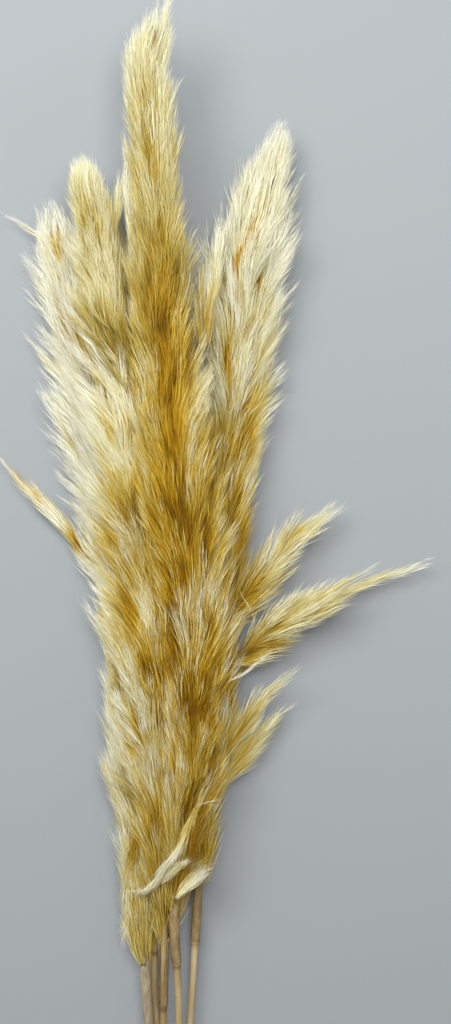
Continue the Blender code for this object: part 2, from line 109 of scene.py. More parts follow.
# Wisps, the largest tufts of a head: sizes at its foot and at its tip, and how they vary
WISP_LENGTH = (0.080, 0.055)
WISP_LENGTHS = (0.85, 1.2)
WISP_RADIUS = (0.0050, 0.0035)
WISP_RADII = (0.85, 1.15)
WISP_FLARE = 0.75
WISP_REACH = (0.80, 1.14)
WISP_DRIFT = 0.35
WISP_CROWDING = 1.5
HEAD_FOOT = 0.004

# Long side sprays
SPRAY_SPAN = (0.16, 0.97)
SPRAY_WISP_RADIUS = 0.0040
SPRAY_WISP_LENGTH = 0.052
SPRAY_POINTS = 7
SPRAY_TIP_MARGIN = 0.003
SPRAY_HAIR_SHARE = 0.9
SPRAY_FULL_WIDTH = 0.0080

# How far the tufts of each head lean to one side, as a share of their length
SWAY = {"left": -0.32, "back": -0.15, "front": -0.40, "centre": 0.0, "right": 0.12}
SWAY_FROM_HEIGHT = 0.52
SWAY_FADE = 0.25

# Tufts of hair, each a strand of a wisp
TUFT_POINTS = 7
TUFT_RUNS = [i / (TUFT_POINTS - 1) for i in range(TUFT_POINTS)]
TUFTS_PER_WISP = 5
TUFT_SPACING = 0.62
TUFT_SWING = 0.0060
TUFT_ROOT = 0.27
TUFT_FLARE = 1.10
TUFT_REACH = 0.80
TUFT_REACHES = (0.82, 1.0)
TUFT_RADII = (0.50, 0.72)
TUFT_START = (0, 0.45)
TUFT_SPAN = (0.42, 0.56)
TUFT_LEAST_SPAN = 0.3
TIP_MARGIN = 0.006
FULL_LEAN_REACH = 0.010
MOST_OPEN = 1.4
CROWN_START = 0.86
CROWN_OPEN = 0.95
CROWN_HAIR = 0.62

# Short hair close round the rachis, under the tufts
UNDERCOAT_STEP = 0.014
UNDERCOAT_ROUND = 7
UNDERCOAT_LENGTH = 0.040
UNDERCOAT_REACH = (0.34, 0.66)
UNDERCOAT_RADIUS = 0.0034
UNDERCOAT_FULL_SPREAD = 0.018
UNDERCOAT_END = 0.030

# Loose hair round the foot of each head
FOOT_TUFTS = 26
FOOT_BELOW = 0.010
FOOT_ABOVE = 0.030
FOOT_REACH = (0.0035, 0.0085)
FOOT_LENGTH = 0.034
FOOT_RADIUS = 0.0026

# The dense middle of a head, and what its hair colour is worked out from: little openness, for painted shade
# in the depth
CORE_SHARE = 0.36
CORE_SIDES = 20
CORE_RING_STEP = 0.012
CORE_ENDS = (0.002, 0.008)
CORE_RIDGES = ((0.08, 5, 0.9), (0.05, 8, -0.5))  # depth as a share, count, twist at each ring
CORE_VALUES = {
    "open": 0.15, "patchy": 1.0, "along": 0.2, "tone": 0.4, "shade": 0.5, "run": 0.3, "bleach": 0.0,
    "weather": 0.0,
}

# Locks that stand out at the edges and on the upper side, as (places in mm, radius in mm, strands,
# paleness, and weathering where it isn't the head's own)
LOCKS = {
    "front": [
        ([
            (-7.5, -47, 63.2), (-9.6, -58, 60.5), (-14.1, -68, 58.6), (-20.8, -77, 55.9), (-27, -86, 49.8),
            (-33.2, -94, 44), (-38.3, -98, 39), (-40, -96, 38),
        ], 3.2, 7, 0.6),
        ([(-29, -94, 43.1), (-20.3, -86, 51.3), (-11.8, -79, 52.4)], 2.8, 6, 0.6),
        # The next three dark olive locks lie along the front head's left edge as painted shadow
        ([(-56.6, 204.6, 79), (-68.7, 216.7, 78), (-81.9, 227.7, 74)], 1.9, 5, -0.55, 1.0),
        ([(-45.6, 182.5, 80), (-56.6, 199.1, 79), (-65.4, 213.9, 77)], 1.7, 4, -0.65, 1.0),
        ([(-54.4, 216.7, 79), (-62.1, 226.6, 79), (-68.7, 237.6, 77)], 1.9, 5, -0.3, 1.0),
        ([(-55, 270.4, 60), (-52.2, 289.8, 60), (-50.5, 303.7, 60)], 3, 7, 0.8, 0.6),
    ],
    "centre": [
        ([(-20, -102, 43), (-14.1, -96, 44), (-8.5, -91, 43), (-4, -87, 40)], 4.2, 9, 1.5),
        ([(-6.2, -54, 62.5), (-8.5, -67, 60.5), (-10, -81, 55)], 3, 8, -1.6, -0.3),
        ([(-29.4, 378.5, 66), (-26.2, 391.5, 66), (-23.2, 401, 66)], 2.6, 5, 1.6, 0.6),
        ([(-44.4, 267.6, 66), (-47.2, 295.4, 66), (-48.9, 323.2, 66)], 2.6, 5, 1.3, 0.5),
        ([(-6.8, -46.5, 63.1), (-2.3, -46, 60.3), (1.1, -47.7, 55.8), (2.8, -50, 50.9)], 1, 1, 1.9),
    ],
    "left": [
        ([(-41, -65, 33), (-44, -85, 27), (-46, -105, 22), (-47.5, -126, 15)], 6, 10, 0.35),
        ([(-34, -80, 33), (-37, -100, 24.5), (-40, -124, 20.8)], 5.5, 8, 0.25),
    ],
    "right": [
        ([(8.4, 18.9, 44), (21, 27.5, 45), (32.1, 35.8, 44)], 1.4, 3, 1.7),
        ([(15.1, 77, 43), (20, 66, 42), (25.7, 52, 44)], 0.8, 1, 1.4),
        ([(-2.9, 210.9, 40), (-1.2, 236.3, 42), (1, 257.8, 43)], 4.4, 10, 0.75),
        ([(-6.9, 225, 40), (-5.2, 242, 41), (-4, 257, 42)], 4, 9, 0.7),
        ([(-5.2, 208, 41), (-6.9, 225, 42), (-8.4, 241, 42)], 3.6, 8, 0.5),
        ([(1, 236.3, 41), (3.3, 260, 42), (6.1, 280.4, 42)], 4.4, 10, 1.1),
    ],
}
LOCK_OPENNESS = 0.9
LOCK_HAIR = 0.50
LOCK_HAIR_SHARE = 1.1

# How pale each head is, as (share of its height, paleness) from foot to tip: partly sun-bleached colour,
# partly painted light that lifts the shade of the upper heads
BLEACH_AND_GLOW = {
    "left": [(0, 0.30), (0.25, 0.98), (0.45, 1.05), (0.75, 1.60), (0.90, 2.15), (1, 2.25)],
    "back": [(0, 0.00), (0.50, 0.20), (0.80, 0.70), (1, 1.10)],
    "front": [(0, 0.30), (0.20, 0.42), (0.45, 0.28), (0.75, 0.46), (0.92, 0.95), (1, 1.35)],
    "centre": [(0, 0.25), (0.18, -0.36), (0.50, 0.10), (0.70, 0.06), (0.83, 0.70), (0.93, 1.22), (1, 1.45)],
    "right": [(0, 0.20), (0.22, -0.30), (0.50, 0.10), (0.66, 0.88), (0.80, 1.55), (0.92, 1.50), (1, 1.45)],
}

# The same for its sprays, at the root and at the tip of each
SPRAY_BLEACH = {
    "left": (0.50, 1.40), "back": (0.35, 1.15), "front": (-0.70, -0.10), "centre": (0.10, 0.90),
    "right": (0.30, 1.15),
}

# How strongly each head's paleness varies from tuft to tuft, by height; it also scales the painted shade at
# the tufts' roots and inner sides
PATCHY = {
    "left": [(0, 0.90), (0.22, 1.60), (0.60, 1.80), (1, 2.20)],
    "back": [(0, 1.20), (1, 1.00)],
    "front": [(0, 0.90), (0.22, 2.10), (0.45, 1.30), (1, 0.90)],
    "centre": [(0, 0.90), (0.22, 2.10), (0.42, 1.10), (0.70, 0.90), (1, 0.35)],
    "right": [(0, 0.90), (0.25, 2.00), (0.50, 1.20), (0.70, 0.80), (1, 0.30)],
}

# How far each head has weathered from gold to olive, by height
WEATHER = {
    "left": [(0, 0.55), (0.20, 0.35), (0.40, 0.22), (0.62, 0.05), (0.80, -0.20), (1, -0.30)],
    "back": [(0, 0.20), (1, 0.30)],
    "front": [(0, 0.50), (0.20, 0.15), (0.40, 0.10), (0.60, 0.45), (1, 0.80)],
    "centre": [(0, 0.45), (0.18, 0.00), (0.40, 0.00), (0.58, 0.25), (0.80, 0.75), (1, 0.95)],
    "right": [(0, 0.40), (0.20, 0.00), (0.45, -0.05), (0.65, 0.25), (0.85, 0.20), (1, 0.10)],
}

# How full the tufts make each head, by height, as a share of the solid's spread
FULLNESS = {
    "left": [
        (0, 0.88), (0.12, 0.74), (0.32, 0.68), (0.47, 0.76), (0.60, 0.95), (0.70, 1.25), (0.79, 0.95),
        (0.88, 1.28), (0.95, 1.22), (1, 1.00),
    ],
    "back": [(0, 1.00), (1, 1.00)],
    "front": [(0, 1.00), (1, 1.00)],
    "centre": [(0, 1.00), (0.60, 1.00), (0.75, 0.95), (1, 1.00)],
    "right": [(0, 1.00), (0.30, 0.95), (0.50, 0.68), (0.65, 0.95), (0.80, 1.25), (0.90, 1.18), (1, 1.05)],
}

# The front head's left edge, (y, x): pale hair beyond it, and inside it a painted shadow of dark olive hair,
# as strongly as (y, strength) says
FRONT_EDGE = [
    (0.060, -0.0600), (0.100, -0.0500), (0.1350, -0.0350), (0.1618, -0.0363), (0.1866, -0.0474),
    (0.2087, -0.0612), (0.2280, -0.0800), (0.2450, -0.0760), (0.3000, -0.0800),
]
EDGE_STRENGTH = [(0.060, 0), (0.110, 0.10), (0.170, 0.85), (0.190, 1), (0.228, 1), (0.250, 0)]
EDGE_SHADE_WIDTH = 0.010
EDGE_PALENESS = 1.30
EDGE_SHADE = 0.90
EDGE_SHADOW_OLIVE = 0.40

# The groove where the front head meets the centre one, (y, x), painted with dark golden shade as strongly as
# (y, depth) says
GROOVE = [
    (0.060, -0.0180), (0.090, -0.0180), (0.123, -0.0191), (0.152, -0.0208), (0.178, -0.0224),
    (0.207, -0.0246), (0.233, -0.0263), (0.260, -0.0270),
]
GROOVE_DEPTH = [(0.060, 0.25), (0.100, 0.60), (0.140, 1.00), (0.200, 1.00), (0.235, 0.50), (0.260, 0)]
GROOVE_HALF_WIDTH = 0.0042
GROOVE_SHADE = 0.85
GROOVE_SHADE_GOLD = 0.60
GROOVE_EVENNESS = 0.4

# The hairs that are copied: how far each leans, and its thickness, as shares of its length
STRANDS = ((0.03, 0.0090), (0.08, 0.0100), (0.12, 0.0075), (-0.06, 0.0115), (0.05, 0.0065))
HAIR_WIDEST = 0.38
HAIR_LENGTHS = (0.50, 1.25)
HAIR_OUTWARDNESS = 0.4
STRAY_RARITY = 6.0
STRAY_GAIN = 2.5
ROOT_HAIR = 1.2
HAIR_TAPER = 0.75
TONE_SPLAY = 0.7

# The slim solid bodies inside the tufts: what their hair colour is worked out from
BODY_ALONG = 0.35
BODY_SHADE = 0.45

# Slow waves through the hair, as (waves to the metre, strength), and the room it may take: two corners
BROAD_WAVES = (38.0, 6.0)
FINE_WAVES = (150.0, 1.4)
HAIR_LOW = (-0.1300, -0.410, 0.0003)
HAIR_HIGH = (0.1315, 0.4240, 0.1040)

# How much each thing counts in the paleness of a hair: open and lit paint shade deeper in a head and on each
# tuft's inner side, and run paints tuft roots darker, partly their own colour and partly painted shade
PALER = {
    "open": 0.30, "along": 0.14, "bleach": 0.42, "run": 0.40, "lit": 0.28, "tone": 0.42, "patches": 0.85,
    "shade": 0.06, "streaks": 0.10, "all": 0.08,
}

# Places along the culms, below the heads: the joints, and each sheath's ends and open side
JOINTS = {
    "left": (-0.208,), "back": (-0.225, -0.138), "front": (-0.168,), "centre": (-0.1425,),
    "right": (-0.1325,),
}
SHEATHS = {
    "left": (-0.204, -0.142, 200), "front": (-0.166, -0.126, 120), "centre": (-0.1405, -0.109, 250),
    "right": (-0.131, -0.094, 165),
}

# A joint along the culm: (place in half lengths, swelling, darkness)
JOINT_HALF_LENGTH = 0.0022
JOINT_REACH = 1.6
JOINT_SWELL = 1.16
JOINT_PROFILE = (
    (-1.4, 1.0, 0.0), (-0.8, 1.05, 0.3), (-0.35, JOINT_SWELL, 0.6), (-0.05, 1.10, 1.0), (0.1, 1.08, 1.0),
    (0.35, JOINT_SWELL, 0.5), (0.8, 1.06, 0.2), (1.4, 1.0, 0.0),
)

# The hollow cut end of a culm: (y, share of the radius, darkness, which paints shade deepening into the
# hollow), and how light each culm is
CUT_PROFILE = ((CUT_END_Y + 0.0016, 0.50, 0.8), (CUT_END_Y, 0.58, 0.5), (CUT_END_Y, 0.97, 0.2))
CULM_RIB = 0.010
CULM_WAVE = (0.012, 2.1, 40)  # depth as a share, turn by side, turn by metre
CULM_TONES = {"left": 0.25, "back": 0.22, "front": 0.12, "centre": 0.42, "right": 0.68}

# Leaf sheaths: split tubes of dry leaf, open wider towards their torn upper ends
SHEATH_WALL = 0.00028
SHEATH_SNUG = 0.00040
SHEATH_SLANT = 0.004
SHEATH_FRAY = 0.0016
SHEATH_TEAR = 0.0022
SHEATH_RIB = 0.00007
SHEATH_WAVE = 0.00010
SHEATH_FLARE = 0.0005
SHEATH_LIP = 0.0004
SHEATH_ROWS = 34
SHEATH_ARCS = 44
SHEATH_SEED = 7
SLIT_HALF_ANGLE = (24, 62)
SHARP_ANGLE = math.radians(50)

# Twine round the culms
TWINE_RADIUS = 0.0010
TWINE_GAP = 0.0009
TWINE_TURNS = 5
TWINE_PITCH = 0.00225
TWINE_POINTS_PER_TURN = 48
TWINE_PLIES = 3
PLY_STEP = 0.0007
PLY_OFFSET = 0.50
PLY_RADIUS = 0.56
LAY_LENGTH = 0.0052

# Stage: lamps as (place, width), which point past the tips, so that their light fades towards the stems
LAMPS = {"key": ((-0.52, 0.68, 1.50), 0.9), "front": ((0.12, 0.45, 1.70), 0.7)}
LAMP_AIM = (0, 1.30, 0)
WARM_WHITE = (1.0, 0.985, 0.96)
FLOOR_CORNERS = [(-4, -4, 0), (4, -4, 0), (4, 4, 0), (-4, 4, 0)]
CAMERA_PLACE = (0.0081, 0.1165, 1.455)
CAMERA_LENS = 87.9
CAMERA_SENSOR = 36


def smooth_through(points, x):
    """A smooth line through (x, value) points, read at x, and straight beyond its ends."""
    count = len(points)
    slopes = []
    for i in range(count):
        before, after = points[max(i - 1, 0)], points[min(i + 1, count - 1)]
        slopes.append((after[1] - before[1]) / (after[0] - before[0]))
    if x <= points[0][0]:
        return points[0][1] + slopes[0] * (x - points[0][0])
    if x >= points[-1][0]:
        return points[-1][1] + slopes[-1] * (x - points[-1][0])
    i = next(k for k in range(count - 1) if x <= points[k + 1][0])
    (x0, v0), (x1, v1) = points[i], points[i + 1]
    span = x1 - x0
    t = (x - x0) / span
    return (
        v0 * (1 + 2 * t) * (1 - t) ** 2
        + slopes[i] * span * t * (1 - t) ** 2
        + v1 * t * t * (3 - 2 * t)
        + slopes[i + 1] * span * t * t * (t - 1)
    )


def mix(low, high, share):
    return low + (high - low) * share


def held(value, low=0, high=1):
    return min(max(value, low), high)


class Plume:
    """One stalk of the bunch: the line that it follows, and how far its head spreads round it."""

    def __init__(self, name, wisps, seed, axis, envelope, sprays=()):
        self.name, self.wisps, self.seed = name, wisps, seed
        axis = metres(axis)
        self.x_points = [(y, x) for x, y, z in axis]
        self.z_points = [(y, z) for x, y, z in axis]
        self.envelope = metres(envelope)
        self.base, self.tip = self.envelope[0][0], self.envelope[-1][0]
        self.sprays = [(*metres(sizes), count) for *sizes, count in sprays]

    def centre(self, y):
        return smooth_through(self.x_points, y), smooth_through(self.z_points, y)

    def at(self, y):
        x, z = self.centre(y)
        return Vector((x, y, z))

    def direction(self, y):
        step = 0.002
        return (self.at(y + step) - self.at(y - step)).normalized()

    def culm_radius(self, y):
        return mix(CULM_RADIUS_CUT, CULM_RADIUS_TOP, held((y - CUT_END_Y) / (self.base - CUT_END_Y)))

    def spread(self, y):
        """How far the head reaches from its axis before anything presses on it."""
        if y <= self.base:
            return NECK_RADIUS
        if y >= self.tip:
            return max(self.envelope[-1][1] * (1 - (y - self.tip) / TIP_FADE), LEAST_SPREAD)
        return smooth_through(self.envelope, y)

    def height(self, y):
        """0 at the foot of the head and 1 at its tip."""
        return held((y - self.base) / (self.tip - self.base), 0.0, 1.0)


# Millimetres. Each axis, of (x, y, z), runs from the cut end through the tie to the tip. Each envelope
# gives the head's (y, radius) from foot to tip. Each spray is (root y, tip point, sag, half width, wisps).
PLUMES = [
    Plume(
        "left", wisps=72, seed=11,
        axis=[
            (-37, CUT_END, 2.4), (-32.5, -330, 6), (-28.3, TIE, 9.5), (-36.4, -170, 17), (-39.5, -120, 20),
            (-43, -50, 20), (-46, 10, 19), (-50, 62, 18), (-54, 95, 17.5), (-60, 135, 17.5),
            (-65, 165, 17.5), (-71, 200, 17.5), (-77.5, 230, 17.5), (-84, 260, 17), (-90, 282, 16.5),
        ],
        envelope=[
            (-135, 4), (-110, 10), (-70, 12), (-40, 18), (-15, 18), (15, 16), (60, 17), (110, 19),
            (150, 21), (190, 22), (230, 23), (255, 21), (275, 15), (290, 6),
        ],
        sprays=[
            (212, (-122.5, 289, 18), 28, 4.5, 3), (150, (-107.5, 216, 16), 7, 4, 3),
            (110, (-99, 186, 24), 4, 6, 4), (60, (-121, 149, 14), 3, 5, 5), (-80, (-50, -131, 14), 4, 5, 3),
        ],
    ),
    Plume(
        "back", wisps=56, seed=23,
        axis=[
            (-24, CUT_END, 2.4), (-23.3, -330, 6), (-23, TIE, 9.5), (-32.5, -170, 10.5), (-33, -123, 11.5),
            (-33, -73, 12), (-31.5, -17, 13), (-31, 39, 14), (-33, 90, 15), (-38, 140, 15.5),
            (-44, 190, 15.5), (-52, 235, 16), (-62, 274, 16.5), (-74.5, 314, 17.5),
        ],
        envelope=[
            (-115, 4), (-85, 8), (-40, 11), (20, 15), (80, 19), (140, 21), (200, 21), (250, 19), (290, 14),
            (316, 5),
        ],
    ),
    Plume(
        "front", wisps=68, seed=38,
        axis=[
            (-30.5, CUT_END, 2.4), (-27.7, -330, 9.8), (-25.6, TIE, 14.1), (-27.6, -170, 21),
            (-26.8, -120, 27), (-28.5, -73, 34.5), (-31, -17, 44), (-35, 39, 51.5), (-39, 90, 56),
            (-43, 134, 59), (-48, 174, 61), (-54, 210, 62), (-59.5, 249, 62), (-65, 283, 61.5),
            (-70.5, 311, 60),
        ],
        envelope=[
            (-120, 4), (-90, 11), (-40, 18), (20, 21), (80, 21), (130, 20), (175, 19), (220, 17), (260, 15),
            (290, 11), (312, 4),
        ],
        sprays=[(140, (-83.4, 231, 74), 4, 4, 4), (-70, (-56, -22, 47), 3, 6, 3)],
    ),
    Plume(
        "centre", wisps=78, seed=43,
        axis=[
            (-17, CUT_END, 2.4), (-18.8, -330, 9.8), (-20.3, TIE, 14.1), (-18.6, -170, 25), (-21, -107, 35),
            (-16.5, -56, 40.5), (-11.8, -10, 47), (-10.6, 39, 54), (-13, 67, 57), (-18, 112, 61.5),
            (-22.5, 151, 64.5), (-26, 190, 66.5), (-28.5, 235, 68), (-31, 290, 68.5), (-33, 330, 68),
            (-34.5, 365, 67), (-31, 392, 66),
        ],
        envelope=[
            (-103, 4), (-80, 14), (-40, 21), (10, 23), (60, 25), (120, 27), (180, 26), (240, 23), (280, 21),
            (310, 17.5), (340, 15.5), (372, 14), (395, 8),
        ],
        sprays=[(-94, (-3, -83, 42), 6, 4.5, 3)],
    ),
    Plume(
        "right", wisps=70, seed=53,
        axis=[
            (-10, CUT_END, 2.4), (-14, -330, 6), (-17.7, TIE, 9.5), (-11.8, -170, 13), (-7.3, -92, 15),
            (-4.5, -48, 15.5), (-3, 0, 16.5), (-1, 45, 17), (4, 101, 17.5), (8.4, 134, 18),
            (11.5, 162, 18.5), (15, 196, 19.5), (18.5, 230, 20.5), (21.5, 263, 21), (27, 290, 21),
            (33, 314, 21), (38.5, 333, 21),
        ],
        envelope=[
            (-88, 4), (-62, 10), (-40, 17), (-20, 22), (10, 21), (70, 20), (120, 22), (170, 24), (220, 27),
            (262, 27.5), (282, 23), (300, 17.5), (318, 12), (335, 5),
        ],
        sprays=[
            (42, (67, 121.5, 26), 3, 9.5, 6), (20, (93.5, 83, 40), 8, 9.5, 7),
            (10, (124, 90, 12), 19, 6, 4), (-45, (48, 29, 32), 6, 6, 4), (-52, (44, 6, 14), 2, 6, 4),
        ],
    ),
]


def borders(plume, y):
    """The straight borders round a plume at y, each as its distance from the axis and its direction."""
    x, z = plume.centre(y)
    spread = plume.spread(y)
    found = [(z + FLOOR_PRESS, -math.pi / 2)]
    for other in PLUMES:
        if other is plume:
            continue
        other_x, other_z = other.centre(y)
        apart = math.hypot(other_x - x, other_z - z)
        other_spread = other.spread(y)
        away = (apart**2 + spread**2 - other_spread**2) / (2 * apart)
        nearest_other = min(NECK_RADIUS, other_spread)
        away = min(max(away, min(NECK_RADIUS, spread)), apart - nearest_other)
        found.append((away - BORDER_GAP / 2, math.atan2(other_z - z, other_x - x)))
    return found


def pressed(plume, y, distance, angle, thickness=0.0):
    """The point at that distance and angle from the axis, pressed in by the borders at y."""
    total = max(distance, LEAST_REACH) ** -SQUASH_POWER
    for away, towards in borders(plume, y):
        facing = math.cos(angle - towards)
        if facing > SHALLOWEST_FACING:
            room = max(away - thickness, LEAST_ROOM * away)
            total += (room / facing) ** -SQUASH_POWER
    reach = total ** (-1 / SQUASH_POWER)
    x, z = plume.centre(y)
    return Vector((x + reach * math.cos(angle), y, z + reach * math.sin(angle)))


def openness(plume, y, angle):
    """The share of the head's spread that the borders leave free in one direction."""
    free = pressed(plume, y, plume.spread(y), angle)
    x, z = plume.centre(y)
    return math.hypot(free.x - x, free.z - z) / plume.spread(y)


Wisp = namedtuple("Wisp", "root length angle drift reach radius")


def head_wisps(plume):
    """The wisps of a head, by a rule: round it by the golden angle, and fewer where it is pressed."""
    rng = random.Random(plume.seed)
    wisps, turn = [], 0
    for k in range(plume.wisps):
        share = (k + 0.5) / plume.wisps
        length = mix(*WISP_LENGTH, share) * rng.uniform(*WISP_LENGTHS)
        root = mix(plume.base + HEAD_FOOT, plume.tip - 0.7 * WISP_LENGTH[1], share)
        length = min(length, plume.tip + TIP_OVERHANG - root)
        while True:
            turn += GOLDEN_ANGLE
            angle = turn + rng.uniform(-0.25, 0.25)
            if rng.random() < openness(plume, root + 0.7 * length, angle) ** WISP_CROWDING:
                break
        reach = rng.uniform(*WISP_REACH)
        drift = rng.uniform(-WISP_DRIFT, WISP_DRIFT)
        radius = mix(*WISP_RADIUS, share) * rng.uniform(*WISP_RADII)
        wisps.append(Wisp(root, length, angle, drift, reach, radius))
    return wisps


def spray_line(plume, root_y, tip, sag):
    """Points of a side branch, from the rachis, out in an arc, to its tip."""
    root, end = plume.at(root_y), Vector(tip)
    outward = Vector((end.x - root.x, 0, end.z - root.z)).normalized()
    shares = (k / (SPRAY_POINTS - 1) for k in range(SPRAY_POINTS))
    return [root.lerp(end, t) - outward * sag * math.sin(math.pi * t) for t in shares]


def line_at(points, t):
    """The point at a share of the way along a line of points."""
    place = t * (len(points) - 1)
    i = min(int(place), len(points) - 2)
    return points[i].lerp(points[i + 1], place - i)


class Tuft:
    """A brush of hairs: points along its line, with what the hair needs to know at each."""

    def __init__(self, plume, radius, tone, weight=1.0, size=1.0, paleness=None, weather=None):
        self.plume, self.radius, self.tone, self.weight, self.size = plume, radius, tone, weight, size
        self.paleness, self.weather = paleness, weather
        self.points, self.girths, self.opens, self.heights, self.leans, self.outers = ([] for _ in range(6))

    def extend(self, point, run, height, opened=None, outer=None):
        """Adds a point, at a share of the tuft's length. One with an outer side given doesn't lean."""
        x, z = self.plume.centre(point.y)
        outward = Vector((point.x - x, 0, point.z - z))
        reach = outward.length
        if opened is None:
            opened = min(reach / max(self.plume.spread(point.y), 0.006), MOST_OPEN)
            if height > CROWN_START:
                opened = max(opened, CROWN_OPEN * ((height - CROWN_START) / (1 - CROWN_START)))
        self.points.append(point)
        self.girths.append(self.radius * tuft_profile(run))
        self.opens.append(opened)
        self.heights.append(height)
        lean = outward.normalized() * min(reach / FULL_LEAN_REACH, 1)
        self.leans.append(lean if outer is None else Vector((0, 0, 0)))
        self.outers.append(outward.normalized() if outer is None else outer)

    def length(self):
        return sum((b - a).length for a, b in zip(self.points, self.points[1:]))


def tuft_profile(run):
    """The thickness along a tuft: slim at its root, fullest past its middle, and pointed at its tip."""
    return 0.30 + 0.70 * math.sin(math.pi * min(0.12 + 0.80 * run, 1)) ** 0.8


def wisp_tufts(plume, wisp, rng):
    """The strands that a wisp divides into."""
    tufts = []
    first = rng.uniform(0, FULL_TURN)
    tone = rng.random()
    for k in range(TUFTS_PER_WISP):
        turn = first + FULL_TURN * k / TUFTS_PER_WISP
        aside, outward = math.cos(turn) * TUFT_SPACING, math.sin(turn) * TUFT_SPACING
        start = rng.uniform(*TUFT_START)
        end = min(start + rng.uniform(*TUFT_SPAN), (plume.tip - TIP_MARGIN - wisp.root) / wisp.length)
        start = min(start, end - TUFT_LEAST_SPAN)
        swing = rng.uniform(-TUFT_SWING, TUFT_SWING)
        reach = wisp.reach * rng.uniform(*TUFT_REACHES)
        tuft = Tuft(plume, wisp.radius * rng.uniform(*TUFT_RADII), mix(tone, rng.random(), 0.5))
        for run in TUFT_RUNS:
            t = mix(start, end, run)
            y = wisp.root + wisp.length * t
            height = plume.height(y)
            full = smooth_through(FULLNESS[plume.name], height)
            distance = plume.spread(y) * full * mix(TUFT_ROOT, reach, run**TUFT_FLARE)
            part = wisp.radius * (0.35 + 0.65 * run)
            distance = max(TUFT_REACH * distance + outward * part, 0.0006)
            angle = wisp.angle + wisp.drift * t
            angle += (aside * part + swing * run**2) / max(distance, 0.004)
            point = pressed(plume, y, distance, angle, 0.5 * tuft.radius)
            sway = SWAY[plume.name] * min(height / SWAY_FROM_HEIGHT, (1 - height) / SWAY_FADE, 1)
            point.x += sway * (run - 0.5) * (end - start) * wisp.length
            tuft.extend(point, run, height)
        tufts.append(tuft)
    return tufts


def spray_tufts(plume, placing, rng, root_y, tip, sag, half_width, count):
    """The strands of one side branch, on the same places as in the solids."""
    line = spray_line(plume, root_y, tip, sag)
    along = (line[-1] - line[0]).normalized()
    side = along.cross(UP).normalized()
    rise = side.cross(along)
    length = (line[-1] - line[0]).length
    span = min(SPRAY_WISP_LENGTH / length, 0.7)
    slim = min(half_width / SPRAY_FULL_WIDTH, 1.0)
    size = mix(0.6, 0.9, slim)
    tip_share = 1 - SPRAY_TIP_MARGIN / length
    tufts = []
    for j in range(count):
        last_one = j == count - 1
        first = mix(SPRAY_SPAN[0], SPRAY_SPAN[1] - span, j / (count - 1))
        last = 1 if last_one else min(first + span * placing.uniform(0.9, 1.1), 0.99)
        turn = j * GOLDEN_ANGLE
        narrowing = 0.45 if last_one else placing.uniform(0.75, 1.1) * mix(1, 0.6, j / count)
        aside = (side * math.cos(turn) + rise * math.sin(turn)) * (half_width * narrowing)
        radius = SPRAY_WISP_RADIUS * placing.uniform(0.85, 1.1) * mix(0.9, 1.35, slim)
        for k in range(TUFTS_PER_WISP):
            around = turn + FULL_TURN * (k + 0.5) / TUFTS_PER_WISP
            off = (side * math.cos(around) + rise * math.sin(around)) * radius * 0.5
            low = mix(first, last, rng.uniform(-0.1, 0.40))
            high = min(low + (last - first) * rng.uniform(0.50, 0.65), tip_share)
            if last_one and k == 0:
                high = tip_share
                low = high - 0.6 * (last - first)
            low = held(low, 0.02, high - 0.15)
            pale = mix(*SPRAY_BLEACH[plume.name], (low + high) / 2)
            tuft = Tuft(plume, radius * 0.55 * slim, rng.random(), SPRAY_HAIR_SHARE, size, pale)
            for run in TUFT_RUNS:
                share = mix(low, high, run)
                point = line_at(line, share) + (aside + off) * slim * run**WISP_FLARE
                x, z = plume.centre(point.y)
                distance, angle = math.hypot(point.x - x, point.z - z), math.atan2(point.z - z, point.x - x)
                point = pressed(plume, point.y, distance, angle, 0.5 * radius)
                opened = mix(0.50, 1.05, share) * mix(0.85, 1, run)
                tuft.extend(point, run, mix(0.45, 0.85, share), opened, (aside + off).normalized())
            tufts.append(tuft)
    return tufts


def undercoat_tufts(plume):
    """Short tufts close round the rachis, all along the head."""
    rng = random.Random(plume.seed + 700)
    tufts = []
    for k in range(round((plume.tip - UNDERCOAT_END - plume.base) / UNDERCOAT_STEP)):
        for j in range(UNDERCOAT_ROUND):
            root = plume.base + HEAD_FOOT + UNDERCOAT_STEP * (k + rng.random())
            angle = FULL_TURN * (j + 0.5 * (k % 2)) / UNDERCOAT_ROUND + rng.uniform(-0.3, 0.3)
            length = min(UNDERCOAT_LENGTH * rng.uniform(0.7, 1.2), plume.tip - root)
            drift = rng.uniform(-WISP_DRIFT, WISP_DRIFT)
            tone = rng.random()
            if rng.random() > openness(plume, root + 0.5 * length, angle):
                continue
            tuft = Tuft(plume, UNDERCOAT_RADIUS * min(plume.spread(root) / UNDERCOAT_FULL_SPREAD, 1), tone)
            for run in TUFT_RUNS:
                y = root + length * run
                distance = plume.spread(y) * mix(*UNDERCOAT_REACH, run**WISP_FLARE)
                point = pressed(plume, y, distance, angle + drift * run, tuft.radius)
                tuft.extend(point, run, plume.height(y))
            tufts.append(tuft)
    return tufts


def foot_tufts(plume):
    """Loose tufts that rise from the culm round the foot of the head."""
    rng = random.Random(plume.seed + 900)
    tufts = []
    for k in range(FOOT_TUFTS):
        root = plume.base + mix(-FOOT_BELOW, FOOT_ABOVE, k / FOOT_TUFTS) + rng.uniform(-0.002, 0.002)
        drift = rng.uniform(-0.5, 0.5)
        length = FOOT_LENGTH * rng.uniform(0.8, 1.2)
        reach = rng.uniform(*FOOT_REACH)
        tuft = Tuft(plume, FOOT_RADIUS * rng.uniform(0.8, 1.15), rng.random())
        for run in TUFT_RUNS:
            y = root + length * run
            distance = mix(CULM_RADIUS_TOP, max(reach, 0.6 * plume.spread(y)), run**0.6)
            x, z = plume.centre(y)
            turn = k * GOLDEN_ANGLE + drift * run
            point = Vector((x + distance * math.cos(turn), y, max(z + distance * math.sin(turn), 0.001)))
            tuft.extend(point, run, plume.height(y), mix(0.35, 0.75, run))
        tufts.append(tuft)
    return tufts


